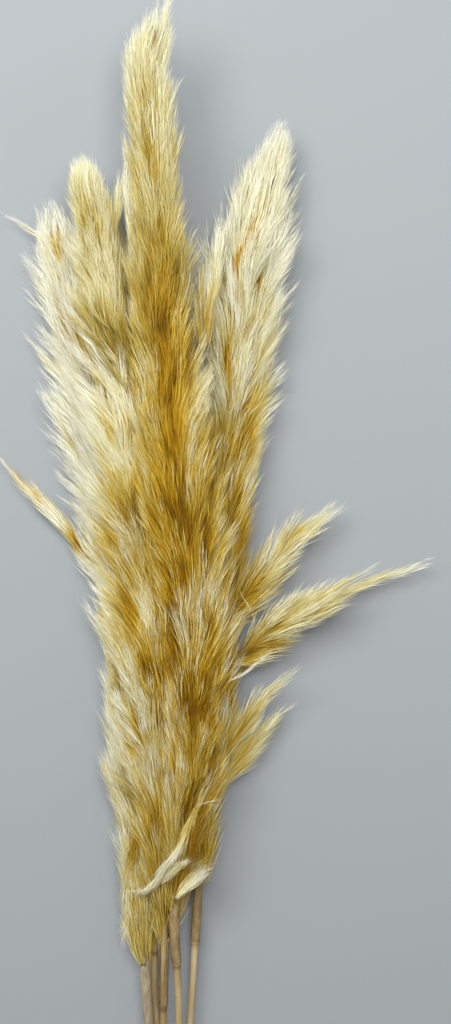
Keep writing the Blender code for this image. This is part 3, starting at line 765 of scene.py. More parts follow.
def lock_tufts(plume, places, radius, strands, paleness, weather=None):
    """Tufts along a lock that lies across the upper side of the bunch."""
    rng = random.Random(plume.seed + 1300)
    places, radius = metres(places), metres(radius)
    rows = [list(enumerate(row)) for row in zip(*places)]
    tufts = []
    for k in range(strands):
        turn = FULL_TURN * k / strands + rng.uniform(-0.4, 0.4)
        aside = 0.55 * radius * math.cos(turn) if strands > 1 else 0
        above = 0.35 * radius * math.sin(turn) if strands > 1 else 0
        start, end = rng.uniform(0, 0.12), rng.uniform(0.82, 1.0)
        tuft = Tuft(plume, radius * 0.55, rng.random(), LOCK_HAIR_SHARE, LOCK_HAIR, paleness, weather)
        for run in TUFT_RUNS:
            x, y, z = (smooth_through(row, mix(start, end, run) * (len(places) - 1)) for row in rows)
            point = Vector((x + aside * (0.4 + 0.6 * run), y, z + above))
            tuft.extend(point, run, 0.5, LOCK_OPENNESS * mix(0.75, 1.1, run), UP)
        tufts.append(tuft)
    return tufts


def outer_tufts(plume):
    """The tufts that give a plume its outline."""
    rng = random.Random(plume.seed + 500)
    placing = random.Random(plume.seed + 1000)
    tufts = foot_tufts(plume)
    for lock in LOCKS.get(plume.name, ()):
        tufts += lock_tufts(plume, *lock)
    for wisp in head_wisps(plume):
        tufts += wisp_tufts(plume, wisp, rng)
    for spray in plume.sprays:
        tufts += spray_tufts(plume, placing, rng, *spray)
    return tufts


class Wire:
    """An output socket that stands in sums: its operators add the Math or Vector Math nodes."""

    def __init__(self, nodes, socket):
        self.nodes = nodes
        self.socket = socket

    def out(self, name):
        found = next(s for s in self.socket.node.outputs if s.enabled and s.name == name)
        return Wire(self.nodes, found)

    def maths(self, operation, *values):
        vector = any(is_vector(value) for value in values)
        kind = "ShaderNodeVectorMath" if vector else "ShaderNodeMath"
        return self.nodes.add(kind, {"operation": operation}, *values)

    def __add__(self, other):
        return self.maths("ADD", self, other)

    def __radd__(self, other):
        return self.maths("ADD", other, self)

    def __sub__(self, other):
        return self.maths("SUBTRACT", self, other)

    def __rsub__(self, other):
        return self.maths("SUBTRACT", other, self)

    def __mul__(self, other):
        if is_vector(self) and not is_vector(other):
            return self.nodes.add("ShaderNodeVectorMath", {"operation": "SCALE"}, self, Scale=other)
        return self.maths("MULTIPLY", self, other)

    def __rmul__(self, other):
        return self * other

    def __truediv__(self, other):
        return self.maths("DIVIDE", self, other)

    def __rtruediv__(self, other):
        return self.maths("DIVIDE", other, self)

    def __pow__(self, other):
        return self.maths("POWER", self, other)

    def clamped(self, low=0.0, high=1.0):
        return self.maths("MINIMUM", self.maths("MAXIMUM", self, low), high)


def is_vector(value):
    if isinstance(value, Wire):
        return value.socket.type in ("VECTOR", "RGBA")
    return hasattr(value, "__len__")


class Nodes:
    """The nodes of one tree, added by type with their settings and the values of their sockets."""

    def __init__(self, tree):
        self.tree = tree

    def add(self, kind, settings=None, *values, **named):
        node = self.tree.nodes.new(kind)
        for name, value in (settings or {}).items():
            if name == "stops":
                self.set_stops(node.color_ramp, value)
            else:
                setattr(node, name, value)
        self.fill(node, *values, **named)
        outputs = [s for s in node.outputs if s.enabled]
        return Wire(self, outputs[0]) if outputs else node

    def fill(self, node, *values, **named):
        """Feeds the sockets of a node, first in their order and then by their names."""
        sockets = [s for s in node.inputs if s.enabled]
        for socket, value in zip(sockets, values):
            self.feed(socket, value)
        for name, value in named.items():
            self.feed(next(s for s in sockets if s.name == name.replace("_", " ")), value)

    def feed(self, socket, value):
        if isinstance(value, list):
            for part in value:
                self.feed(socket, part)
        elif isinstance(value, Wire):
            self.tree.links.new(value.socket, socket)
        elif value is not None:
            socket.default_value = value

    def set_stops(self, ramp, stops):
        """Gives a colour ramp its stops of (place, colour)."""
        while len(ramp.elements) > 1:
            ramp.elements.remove(ramp.elements[-1])
        ramp.elements[0].position = stops[0][0]
        ramp.elements[0].color = (*stops[0][1], 1)
        for place, colour in stops[1:]:
            ramp.elements.new(place).color = (*colour, 1)

    def attribute(self, name):
        return self.add("ShaderNodeAttribute", {"attribute_name": name}).out("Fac")

    def grain(self, across, along=None, detail=2.0, roughness=0.5):
        """Noise in the object's own space: how fine across the bunch, and along it where that differs."""
        place = self.add("ShaderNodeTexCoord").out("Object")
        if along:
            place = self.add("ShaderNodeMapping", None, place, Scale=(across, along, across))
            across = 1.0
        return self.add("ShaderNodeTexNoise", None, place, Scale=across, Detail=detail, Roughness=roughness)

    def tube(self, curves, sides, radius):
        """A closed tube round curves."""
        ring = self.add("GeometryNodeCurvePrimitiveCircle", {"mode": "RADIUS"}, Resolution=sides, Radius=1.0)
        return self.add(
            "GeometryNodeCurveToMesh", None, curves, Profile_Curve=ring, Scale=radius, Fill_Caps=True
        )

    def joined(self, *pieces):
        """Those geometries as one, with their instances made real."""
        join = self.add("GeometryNodeJoinGeometry", None, list(pieces))
        return self.add("GeometryNodeRealizeInstances", None, join)

    def finished(self, geometry, finish, smooth):
        """Gives the geometry its shading and finish, and hands it out."""
        geometry = self.add("GeometryNodeSetShadeSmooth", None, geometry, Shade_Smooth=smooth)
        geometry = self.add("GeometryNodeSetMaterial", None, geometry, Material=finish)
        self.add("NodeGroupOutput", None, geometry)


def new_finish(name):
    """A new material, its nodes and its Principled shader."""
    made = bpy.data.materials.new(name)
    made.use_nodes = True
    return made, Nodes(made.node_tree), made.node_tree.nodes["Principled BSDF"]


def new_tree(name, inputs):
    """The nodes and the input node of a new Geometry Nodes tree, with inputs of (name, kind, default)."""
    tree = bpy.data.node_groups.new(name, "GeometryNodeTree")
    for label, kind, default in (("Geometry", "Geometry", None), *inputs):
        socket = tree.interface.new_socket(label, in_out="INPUT", socket_type="NodeSocket" + kind)
        if default is not None:
            socket.default_value = default
    tree.interface.new_socket("Geometry", in_out="OUTPUT", socket_type="NodeSocketGeometry")
    nodes = Nodes(tree)
    return nodes, nodes.add("NodeGroupInput")


def grown(line, nodes, name, **values):
    """Runs a Geometry Nodes tree over a line, and gives the plain mesh object that comes out.

    The values are those of the tree's named inputs, which are set by their sockets' identifiers.
    """
    modifier = line.modifiers.new("growth", "NODES")
    modifier.node_group = nodes.tree
    for item in nodes.tree.interface.items_tree:
        key = item.name.lower().replace(" ", "_")
        if item.in_out == "INPUT" and key in values:
            modifier[item.identifier] = values[key]
    graph = bpy.context.evaluated_depsgraph_get()
    mesh = bpy.data.meshes.new_from_object(line.evaluated_get(graph))
    mesh.name = name
    mesh.materials.clear()
    mesh.materials.append(values["finish"])
    made = bpy.data.objects.new(name, mesh)
    bpy.context.scene.collection.objects.link(made)
    bpy.data.objects.remove(line)
    return made


def plain_mesh(name, vertices, faces, edges=()):
    mesh = bpy.data.meshes.new(name)
    mesh.from_pydata([tuple(v) for v in vertices], list(edges), faces)
    made = bpy.data.objects.new(name, mesh)
    bpy.context.scene.collection.objects.link(made)
    return made


def closed_body(name, vertices, faces, smooth=False):
    """A closed mesh with its faces outwards, smooth where it is asked for, but for its sharp edges."""
    made = plain_mesh(name, vertices, faces)
    shape = bmesh.new()
    shape.from_mesh(made.data)
    bmesh.ops.recalc_face_normals(shape, faces=shape.faces)
    shape.to_mesh(made.data)
    shape.free()
    if smooth:
        made.data.shade_smooth()
        made.data.set_sharp_from_angle(angle=SHARP_ANGLE)
    return made


def with_values(thing, **values):
    """Stores lists of numbers on the points of a mesh."""
    for name, numbers in values.items():
        kind = "INT" if isinstance(numbers[0], int) else "FLOAT"
        thing.data.attributes.new(name, kind, "POINT").data.foreach_set("value", numbers)


def closed_tube(rings, end=None):
    """Vertices and faces of a tube through equal rings, with flat ends or a point at its far end."""
    sides = len(rings[0])
    vertices = [corner for ring in rings for corner in ring]
    faces = []
    for k in range(len(rings) - 1):
        for i in range(sides):
            low, low_next = k * sides + i, k * sides + (i + 1) % sides
            faces.append((low, low_next, low_next + sides, low + sides))
    last = (len(rings) - 1) * sides
    faces.append(tuple(range(sides))[::-1])
    if end is None:
        faces.append(tuple(range(last, last + sides)))
    else:
        vertices.append(end)
        faces += [(last + i, last + (i + 1) % sides, len(vertices) - 1) for i in range(sides)]
    return vertices, faces


def ring_round(centre, along, outward, radius, sides):
    """A ring of points round a centre, square to the direction along."""
    outward = (outward - along * outward.dot(along)).normalized()
    side = along.cross(outward)
    return [
        centre + (outward * math.cos(turn) + side * math.sin(turn)) * radius
        for turn in (FULL_TURN * i / sides for i in range(sides))
    ]


def hair_strand(name, lean, thickness):
    """One hair of length 1 along Z: a closed sliver of six faces, pointed at both ends."""
    middle = Vector((lean * HAIR_WIDEST, 0, HAIR_WIDEST))
    vertices = ring_round(middle, UP, Vector((1, 0, 0)), thickness, 3)
    vertices += [Vector((0, 0, 0)), Vector((lean, 0, 1))]
    faces = [((i + 1) % 3, i, 3) for i in range(3)] + [(i, (i + 1) % 3, 4) for i in range(3)]
    strand = closed_body(name, vertices, faces)
    with_values(strand, along=[held(v.co.z, 0.0, 1.0) for v in strand.data.vertices])
    return strand


def hair_colouring(plume, tuft, height):
    """Paleness and weathering of a tuft, that high up its head, with a painted shadow along the front head's
    left edge and painted shade in the groove where the front and centre heads meet.
    """
    pale = smooth_through(BLEACH_AND_GLOW[plume.name], height)
    weathered = smooth_through(WEATHER[plume.name], height)
    if tuft.paleness is not None:
        return tuft.paleness, weathered if tuft.weather is None else tuft.weather
    x, y, z = tuft.points[TUFT_POINTS // 2]
    if plume.name == "front":
        beyond = smooth_through(FRONT_EDGE, y) - x
        strength = held(smooth_through(EDGE_STRENGTH, y))
        # Beyond the front head's edge the hair is pale; inside it, a painted shadow of dark olive hair runs
        # along the edge
        if beyond > 0:
            pale, weathered = mix(pale, EDGE_PALENESS, strength), mix(weathered, 0, strength)
        else:
            near = strength * math.exp(beyond / EDGE_SHADE_WIDTH)
            pale, weathered = pale - EDGE_SHADE * near, weathered + EDGE_SHADOW_OLIVE * near
    # Painted shade, dark and golden, in the groove where the front and centre heads meet
    if plume.name in ("front", "centre"):
        off = (x - smooth_through(GROOVE, y)) / GROOVE_HALF_WIDTH
        depth = held(smooth_through(GROOVE_DEPTH, y))
        groove = depth * (GROOVE_EVENNESS + tuft.tone) * math.exp(-off * off)
        pale, weathered = pale - GROOVE_SHADE * groove, weathered - GROOVE_SHADE_GOLD * groove
    return pale, weathered


def tuft_lines(plume, tufts, hairs):
    """A mesh of edges along the tufts, with what the hair needs to know at each point."""
    names = ("girth", "open", "size", "patchy", "tone", "spacing", "run", "bleach", "weather", "hairs")
    vertices, edges, rows = [], [], []
    total = sum(tuft.weight * tuft.length() * tuft.radius for tuft in tufts)
    owed = 0.0
    for tuft in tufts:
        first = len(vertices)
        vertices += tuft.points
        edges += [(first + i, first + i + 1) for i in range(TUFT_POINTS - 1)]
        share = hairs * tuft.weight * tuft.length() * tuft.radius / total
        spacing = tuft.length() / (TUFT_POINTS - 1)
        for run, girth, opened, height in zip(TUFT_RUNS, tuft.girths, tuft.opens, tuft.heights):
            owed += share / TUFT_POINTS
            count = int(owed)
            owed -= count
            size = tuft.size * mix(1.0, CROWN_HAIR, height**6)
            patchy = smooth_through(PATCHY[plume.name], height)
            colouring = hair_colouring(plume, tuft, height)
            rows.append((girth, opened, size, patchy, tuft.tone, spacing, run, *colouring, count))
    lines = plain_mesh("tufts " + plume.name, vertices, [], edges)
    with_values(lines, **dict(zip(names, zip(*rows))))
    leans = [number for tuft in tufts for lean in tuft.leans for number in lean]
    outers = [number for tuft in tufts for outer in tuft.outers for number in outer]
    for name, numbers in (("lean", leans), ("outer", outers)):
        lines.data.attributes.new(name, "FLOAT_VECTOR", "POINT").data.foreach_set("vector", numbers)
    return lines


def core_body(plume):
    """The dense middle of a head, which shows only as golden depth between the tufts: painted shade."""
    foot, end = plume.base + CORE_ENDS[0], plume.tip - CORE_ENDS[1]
    steps = round((end - foot) / CORE_RING_STEP)
    rings = []
    for k in range(steps):
        y = mix(foot, end, k / steps)
        ring = []
        for i in range(CORE_SIDES):
            angle = -FULL_TURN * i / CORE_SIDES
            ridge = 1
            for depth, count, twist in CORE_RIDGES:
                ridge += depth * math.cos(count * angle + twist * k)
            distance = max(CORE_SHARE * plume.spread(y) * ridge, CULM_RADIUS_TOP * 0.9)
            ring.append(pressed(plume, y, distance, angle))
        rings.append(ring)
    vertices, faces = closed_tube(rings, plume.at(end))
    core = closed_body("core " + plume.name, vertices, faces)
    with_values(core, **{name: [value] * len(vertices) for name, value in CORE_VALUES.items()})
    return core


HAIR_INPUTS = (
    ("Strands", "Collection", None), ("Core", "Object", None), ("Finish", "Material", None),
    ("Hair length", "Float", 0.019), ("Flare", "Float", 0.3), ("Frizz", "Float", 0.1),
    ("Lean", "Float", 0.15), ("Waves", "Float", 0.001), ("Body share", "Float", 0.5), ("Seed", "Int", 0),
)


def hair_tree():
    """Geometry Nodes that grow a brush of hairs along each tuft line, over a slim solid body."""
    nodes, given = new_tree("plume hair", HAIR_INPUTS)

    def value(name, kind="FLOAT"):
        return nodes.add("GeometryNodeInputNamedAttribute", {"data_type": kind}, name)

    def chance(low, high, offset, kind="FLOAT"):
        seed = given.out("Seed") + offset
        return nodes.add("FunctionNodeRandomValue", {"data_type": kind}, Min=low, Max=high, Seed=seed)

    def store(geometry, name, what, kind="FLOAT"):
        settings = {"data_type": kind, "domain": "POINT"}
        return nodes.add("GeometryNodeStoreNamedAttribute", settings, geometry, Name=name, Value=what)

    # A slim solid body inside each tuft, and the dense middle of the head
    curves = nodes.add("GeometryNodeMeshToCurve", None, given.out("Geometry"))
    bodies = nodes.tube(curves, 3, value("girth") * given.out("Body share"))
    bodies = store(store(bodies, "along", BODY_ALONG), "shade", BODY_SHADE)
    core = nodes.add("GeometryNodeObjectInfo", {"transform_space": "ORIGINAL"}, given.out("Core"))

    # Hairs: copies of each point of the lines, moved about inside the tuft
    points = nodes.add("GeometryNodeCurveToPoints", {"mode": "EVALUATED"}, curves)
    placed = store(points, "flow", points.out("Tangent"), "FLOAT_VECTOR")
    placed = store(placed, "across", points.out("Normal"), "FLOAT_VECTOR")
    amount = value("hairs", "INT")
    copies = nodes.add("GeometryNodeDuplicateElements", {"domain": "POINT"}, placed, Amount=amount)
    flow, across = value("flow", "FLOAT_VECTOR"), value("across", "FLOAT_VECTOR")
    turn = chance(0.0, FULL_TURN, 1)
    third = flow.maths("CROSS_PRODUCT", flow, across)
    outward = across * turn.maths("COSINE", turn) + third * turn.maths("SINE", turn)
    copies = store(copies, "reach", chance(0.0, 1.0, 2) ** HAIR_OUTWARDNESS)
    copies = store(copies, "away", outward, "FLOAT_VECTOR")
    copies = store(copies, "shade", chance(0.0, 1.0, 3))
    # Painted shade: hair on the inner side of its tuft gets a lower lit value, which darkens it
    away = value("away", "FLOAT_VECTOR") * value("reach")
    lit = away.maths("DOT_PRODUCT", away, value("outer", "FLOAT_VECTOR"))
    copies = store(copies, "lit", lit)
    step = flow * (value("spacing") * chance(-0.5, 0.5, 4))
    moved = nodes.add("GeometryNodeSetPosition", None, copies, Offset=away * value("girth") + step)

    # Each points along the flow, splayed, and leans out from the head; a few stray further
    run = value("run")
    splay = given.out("Flare") * (1.0 - run + value("tone") * TONE_SPLAY)
    frizz = given.out("Frizz") * ((chance(0.0, 1.0, 9) ** STRAY_RARITY) * STRAY_GAIN + 1.0)
    jitter = chance((-1.0, -1.0, -1.0), (1.0, 1.0, 1.0), 5, "FLOAT_VECTOR") * frizz
    lean = value("lean", "FLOAT_VECTOR") * (given.out("Lean") * (0.5 + value("tone")))
    heading = flow + away * splay + jitter + lean
    aligned = nodes.add("FunctionNodeAlignRotationToVector", {"axis": "Z"}, Vector=heading)
    spun = nodes.add("FunctionNodeAxisAngleToRotation", None, tuple(UP), chance(0.0, FULL_TURN, 6))
    turned = nodes.add("FunctionNodeRotateRotation", {"rotation_space": "LOCAL"}, aligned, Rotate_By=spun)
    length = given.out("Hair length") * chance(*HAIR_LENGTHS, 7) * (ROOT_HAIR - run * HAIR_TAPER)
    length = length * value("size")
    strands = nodes.add(
        "GeometryNodeCollectionInfo", {"transform_space": "ORIGINAL"}, given.out("Strands"),
        Separate_Children=True, Reset_Children=True,
    )
    hairs = nodes.add(
        "GeometryNodeInstanceOnPoints", None, moved, Instance=strands, Pick_Instance=True,
        Instance_Index=chance(0, 99, 8, "INT"), Rotation=turned, Scale=length,
    )
    whole = nodes.joined(hairs, bodies, core.out("Geometry"))

    # Slow waves through the whole head, and nothing under the surface
    place = nodes.add("GeometryNodeInputPosition")
    broad, fine = (
        (nodes.add("ShaderNodeTexNoise", None, place, Scale=scale, Detail=1.0).out("Color") - (0.5, 0.5, 0.5))
        * strength
        for scale, strength in (BROAD_WAVES, FINE_WAVES)
    )
    waved = place + (broad + fine) * given.out("Waves")
    whole = nodes.add("GeometryNodeSetPosition", None, whole, Position=waved.clamped(HAIR_LOW, HAIR_HIGH))
    nodes.finished(whole, given.out("Finish"), False)
    return nodes


def culm_body(plume):
    """A culm from its hollow cut end to the foot of its head, finely ribbed, with its joints."""
    end = plume.base + RACHIS_LENGTH
    steps = round((end - CUT_END_Y) / CULM_RING_STEP)
    stations = [(mix(CUT_END_Y, end, k / steps), 1.0, 0.0) for k in range(steps + 1)]
    for joint in JOINTS[plume.name]:
        stations = [found for found in stations if abs(found[0] - joint) > JOINT_REACH * JOINT_HALF_LENGTH]
        stations += [(joint + place * JOINT_HALF_LENGTH, swell, dark) for place, swell, dark in JOINT_PROFILE]
    stations.sort()
    depth, by_side, by_metre = CULM_WAVE
    rings, joint_dark_and_hollow_shade = [], []
    # Darkness at the joints, and painted shade inside the hollow cut end
    for y, swell, dark in (*CUT_PROFILE, *stations[1:]):
        centre = plume.at(y)
        ring = ring_round(centre, plume.direction(y), UP, plume.culm_radius(y) * swell, CULM_SIDES)
        for i, point in enumerate(ring):
            rib = CULM_RIB * (-1) ** i + depth * math.sin(by_side * i + by_metre * y)
            ring[i] = point + (point - centre) * rib
        rings.append(ring)
        joint_dark_and_hollow_shade += [dark] * CULM_SIDES
    culm = closed_body("dressed_stem_" + plume.name, *closed_tube(rings), smooth=True)
    with_values(culm, joint=joint_dark_and_hollow_shade, tone=[CULM_TONES[plume.name]] * len(joint_dark_and_hollow_shade))
    return culm


def sheath_body(plume, low, high, opening, rng):
    """A dry leaf sheath: a thin split tube with ribs, curled lips and a torn upper edge."""
    middle = math.radians(opening)
    ragged = [rng.uniform(-1, 1) for _ in range(SHEATH_ARCS)]
    rings, runs = [], []
    for k in range(SHEATH_ROWS):
        t = k / (SHEATH_ROWS - 1)
        half_open = math.radians(mix(*SLIT_HALF_ANGLE, t**2))
        ring = []
        for wall in (SHEATH_WALL, 0):
            arc = []
            for i in range(SHEATH_ARCS):
                share = i / (SHEATH_ARCS - 1)
                turn = middle + mix(half_open, FULL_TURN - half_open, share)
                slant = SHEATH_SLANT * t**2 * math.cos(turn - middle)
                tear = SHEATH_FRAY * ragged[i] * t**8
                tear -= SHEATH_TEAR * max(math.sin(9 * share + 1), 0) * t**10
                y = mix(low, high, t) - slant + tear
                along = plume.direction(y)
                outward = Vector((math.cos(turn), 0, math.sin(turn)))
                outward = (outward - along * outward.dot(along)).normalized()
                rib = SHEATH_RIB * math.sin(turn * 23) + SHEATH_WAVE * math.sin(turn * 7 + 60 * t)
                flare = SHEATH_FLARE * t**6 + SHEATH_LIP * abs(2 * share - 1) ** 6 * (0.3 + t)
                distance = plume.culm_radius(y) + (SHEATH_SNUG + wall) + rib + flare
                arc.append(plume.at(y) + outward * distance)
            ring += arc if wall else arc[::-1]
        rings.append(ring)
        runs += [t] * len(ring)
    sheath = closed_body("dressed_sheath_" + plume.name, *closed_tube(rings), smooth=True)
    with_values(sheath, run=runs)
    return sheath


def twine_line():
    """The middle line of the twine, wound round the five culms."""
    points = []
    for i in range(TWINE_TURNS * TWINE_POINTS_PER_TURN + 1):
        y = TIE_Y - TWINE_TURNS * TWINE_PITCH / 2 + TWINE_PITCH * i / TWINE_POINTS_PER_TURN
        turn = math.pi / 2 + FULL_TURN * i / TWINE_POINTS_PER_TURN
        normal = Vector((math.cos(turn), 0, math.sin(turn)))
        outermost = max(PLUMES, key=lambda plume: plume.at(y).dot(normal))
        points.append(outermost.at(y) + normal * (outermost.culm_radius(y) + TWINE_GAP + TWINE_RADIUS))
    return plain_mesh("twine line", points, [], [(i, i + 1) for i in range(len(points) - 1)])


TWINE_INPUTS = (
    ("Finish", "Material", None), ("Twine radius", "Float", 0.001), ("Lay length", "Float", 0.005),
)


def twine_tree():
    """Geometry Nodes that lay three plies round the path of the twine."""
    nodes, given = new_tree("twine plies", TWINE_INPUTS)
    path = nodes.add("GeometryNodeMeshToCurve", None, given.out("Geometry"))
    path = nodes.add("GeometryNodeResampleCurve", {"mode": "LENGTH"}, path, Length=PLY_STEP)
    normal = nodes.add("GeometryNodeInputNormal")
    third = normal.maths("CROSS_PRODUCT", nodes.add("GeometryNodeInputTangent"), normal)
    lay = nodes.add("GeometryNodeSplineParameter").out("Length") / given.out("Lay length")
    radius = given.out("Twine radius")
    plies = []
    for k in range(TWINE_PLIES):
        turn = lay * FULL_TURN + FULL_TURN * k / TWINE_PLIES
        outward = normal * turn.maths("COSINE", turn) + third * turn.maths("SINE", turn)
        ply = nodes.add("GeometryNodeSetPosition", None, path, Offset=outward * (radius * PLY_OFFSET))
        plies.append(nodes.tube(ply, 8, radius * PLY_RADIUS))
    nodes.finished(nodes.joined(*plies), given.out("Finish"), True)
    return nodes


def plume_finish(looks):
    """Silky hair: deep gold between the tufts, which is painted shade, straw on them, and cream at the open
    tips.
    """
    finish, nodes, shader = new_finish("plume_cream")
    value = nodes.attribute
    patchy = value("patchy")
    # Run and lit paint tuft roots and the inner side of each tuft darker: painted shade, with the roots
    # partly their own colour
    fine = (value("run") - 0.5) * PALER["run"] + value("lit") * PALER["lit"]
    coarse = (value("tone") - 0.5) * PALER["tone"] + (nodes.grain(62, 24) - 0.5) * PALER["patches"]
    # Openness paints hair deeper in a head darker and more golden: painted shade
    paleness = (
        value("open") * PALER["open"]
        + value("along") * PALER["along"]
        + value("bleach") * PALER["bleach"]
        + fine * (patchy * 0.40 + 0.50)
        + coarse * patchy
        + (value("shade") - 0.5) * PALER["shade"]
        + (nodes.grain(900, 60) - 0.5) * PALER["streaks"]
        + PALER["all"]
    )
    colours = (looks.dark, looks.deep, looks.gold, looks.straw, looks.pale, looks.cream)
    stops = list(zip((0.0, 0.18, 0.38, 0.60, 0.80, 1.00), colours))
    golden = nodes.add("ShaderNodeValToRGB", {"stops": stops}, paleness)
    stops = [(0.0, looks.olive_dark), (0.5, looks.olive), (1.0, looks.olive_light)]
    olive = nodes.add("ShaderNodeValToRGB", {"stops": stops}, paleness)
    weathered = (value("weather") + (nodes.grain(110, 30) - 0.5) * 1.2).clamped()
    colour = nodes.add("ShaderNodeMix", {"data_type": "RGBA"}, weathered, A=golden, B=olive)
    nodes.fill(shader, Base_Color=colour, Roughness=0.62, Specular_IOR_Level=0.12)
    return finish


def culm_finish(looks):
    """Smooth straw with fine lengthwise lines, darker at the joints and where the culm is older, with painted
    shade inside the hollow cut end.
    """
    finish, nodes, shader = new_finish("culm_straw")
    lines = nodes.grain(2600, 26, 3.0)
    shade = (
        nodes.attribute("tone") * 0.55
        + 0.26
        + (lines - 0.5) * 0.55
        + (nodes.grain(160, 34, 3.0) - 0.5) * 0.75
        # The joint value also holds the painted shade inside the hollow cut end
        - nodes.attribute("joint") * 0.42
        - ((nodes.grain(900.0) - 0.66) * 6.0).clamped() * 0.25
    )
    stops = ((0.0, looks.dark), (0.45, looks.straw), (1.0, looks.light))
    nodes.fill(
        shader,
        Base_Color=nodes.add("ShaderNodeValToRGB", {"stops": stops}, shade),
        Roughness=0.62 - (lines - 0.5) * 0.3 - shade * 0.12,
        Normal=nodes.add("ShaderNodeBump", None, Strength=0.35, Distance=0.0004, Height=lines),
        Coat_Weight=0.10,
        Coat_Roughness=0.45,
    )
    return finish


def sheath_finish(name, dark, middle, light):
    """Papery dry leaf: ribs along it, mottled, bleached towards the torn end."""
    finish, nodes, shader = new_finish(name)
    ribs = nodes.grain(1900, 22, 3.0)
    mottle = nodes.grain(330, 120, 4.0, 0.62)
    shade = 0.42 + (ribs - 0.5) * 0.60 + (mottle - 0.5) * 0.95 + nodes.attribute("run") * 0.16
    stops = ((0.0, dark), (0.5, middle), (1.0, light))
    nodes.fill(
        shader,
        Base_Color=nodes.add("ShaderNodeValToRGB", {"stops": stops}, shade),
        Roughness=0.78 - (ribs - 0.5) * 0.3,
        Normal=nodes.add("ShaderNodeBump", None, Strength=0.5, Distance=0.0004, Height=ribs),
    )
    return finish


def twine_finish(looks):
    """Brown jute: fine fibres along the plies, with paler and darker ones among them."""
    finish, nodes, shader = new_finish("twine_brown")
    fibres = nodes.grain(2600.0, None, 3.0, 0.7)
    shade = 0.5 + (fibres - 0.5) * 1.3 + (nodes.grain(240.0) - 0.5) * 0.6
    stops = ((0.0, looks.twine_dark), (1.0, looks.twine_light))
    nodes.fill(
        shader,
        Base_Color=nodes.add("ShaderNodeValToRGB", {"stops": stops}, shade),
        Roughness=0.9,
        Normal=nodes.add("ShaderNodeBump", None, Strength=0.8, Distance=0.0003, Height=fibres),
    )
    return finish


def colour(name, description, *default):
    return FloatVectorProperty(name=name, description=description, default=default, subtype="COLOR")


def number(name, description, default, **more):
    return FloatProperty(name=name, description=description, default=default, **more)


class PlumeLooks(bpy.types.PropertyGroup):
    """Sizes and colours of the plumes' hair."""

    hairs: IntProperty(name="Outer hairs", description="Hairs in the tufts of each plume", default=29500)
    under_hairs: IntProperty(name="Undercoat hairs", description="Hairs under the tufts", default=24000)
    under_length: number("Undercoat length", "Middle length of those", 0.017, unit="LENGTH")
    length: number("Hair length", "Middle length of a hair", 0.024, unit="LENGTH")
    flare: number("Flare", "How far the outer hairs of a tuft lean away", 0.10)
    frizz: number("Frizz", "How unevenly the hairs point", 0.035)
    lean: number("Lean", "How far hair leans out from the middle of its head", 0.08)
    waves: number("Waves", "How far slow waves shift the hair", 0.0010, unit="LENGTH")
    body: number("Body share", "Thickness of the dense part of a tuft", 0.16)
    # Dark and deep show where painted shade darkens the hair between the tufts
    dark: colour("Dark colour", "Deepest between the tufts", 0.27, 0.140, 0.007)
    deep: colour("Deep colour", "Between the tufts", 0.48, 0.262, 0.009)
    gold: colour("Gold", "Roots of the tufts", 0.66, 0.440, 0.030)
    straw: colour("Straw", "Middle of the tufts", 0.77, 0.650, 0.215)
    pale: colour("Pale straw", "Outer hairs", 0.84, 0.815, 0.530)
    cream: colour("Cream", "Tips of the outer hairs", 0.90, 0.895, 0.760)
    olive_dark: colour("Dark olive", "Depths of weathered tufts", 0.20, 0.138, 0.014)
    olive: colour("Olive", "Middle of weathered tufts", 0.53, 0.440, 0.125)
    olive_light: colour("Light olive", "Tips of weathered tufts", 0.84, 0.825, 0.560)


class StemLooks(bpy.types.PropertyGroup):
    """Colours of the culms, leaf sheaths and twine."""

    dark: colour("Culm joints", "Joints and old culms", 0.16, 0.09, 0.03)
    straw: colour("Culm", "Middle colour of the culms", 0.38, 0.28, 0.13)
    light: colour("Culm lines", "Pale lines of the culms", 0.62, 0.53, 0.31)
    tan_dark: colour("Tan sheath shade", "Depths of the tan sheaths", 0.09, 0.05, 0.015)
    tan: colour("Tan sheath", "Middle colour of the tan sheaths", 0.26, 0.18, 0.075)
    tan_light: colour("Tan sheath light", "Pale ribs of the tan sheaths", 0.50, 0.39, 0.20)
    pale_dark: colour("Pale sheath shade", "Depths of the pale sheath", 0.11, 0.08, 0.045)
    pale: colour("Pale sheath", "Middle colour of the pale sheath", 0.29, 0.235, 0.145)
    pale_light: colour("Pale sheath light", "Pale ribs of the pale sheath", 0.52, 0.46, 0.32)
    twine_dark: colour("Twine shade", "Dark fibres", 0.16, 0.09, 0.035)
    twine_light: colour("Twine", "Light fibres", 0.52, 0.37, 0.20)


class StageLooks(bpy.types.PropertyGroup):
    """Floor, light and camera."""

    floor: colour("Floor colour", "Plain floor", 0.303, 0.330, 0.353)
    key: number("Key light", "Power of the large soft light", 23.3)
    front: number("Front light", "Power of the light over the bunch", 23.3)
    sky: number("Ambient light", "Strength of the surroundings", 0.31)


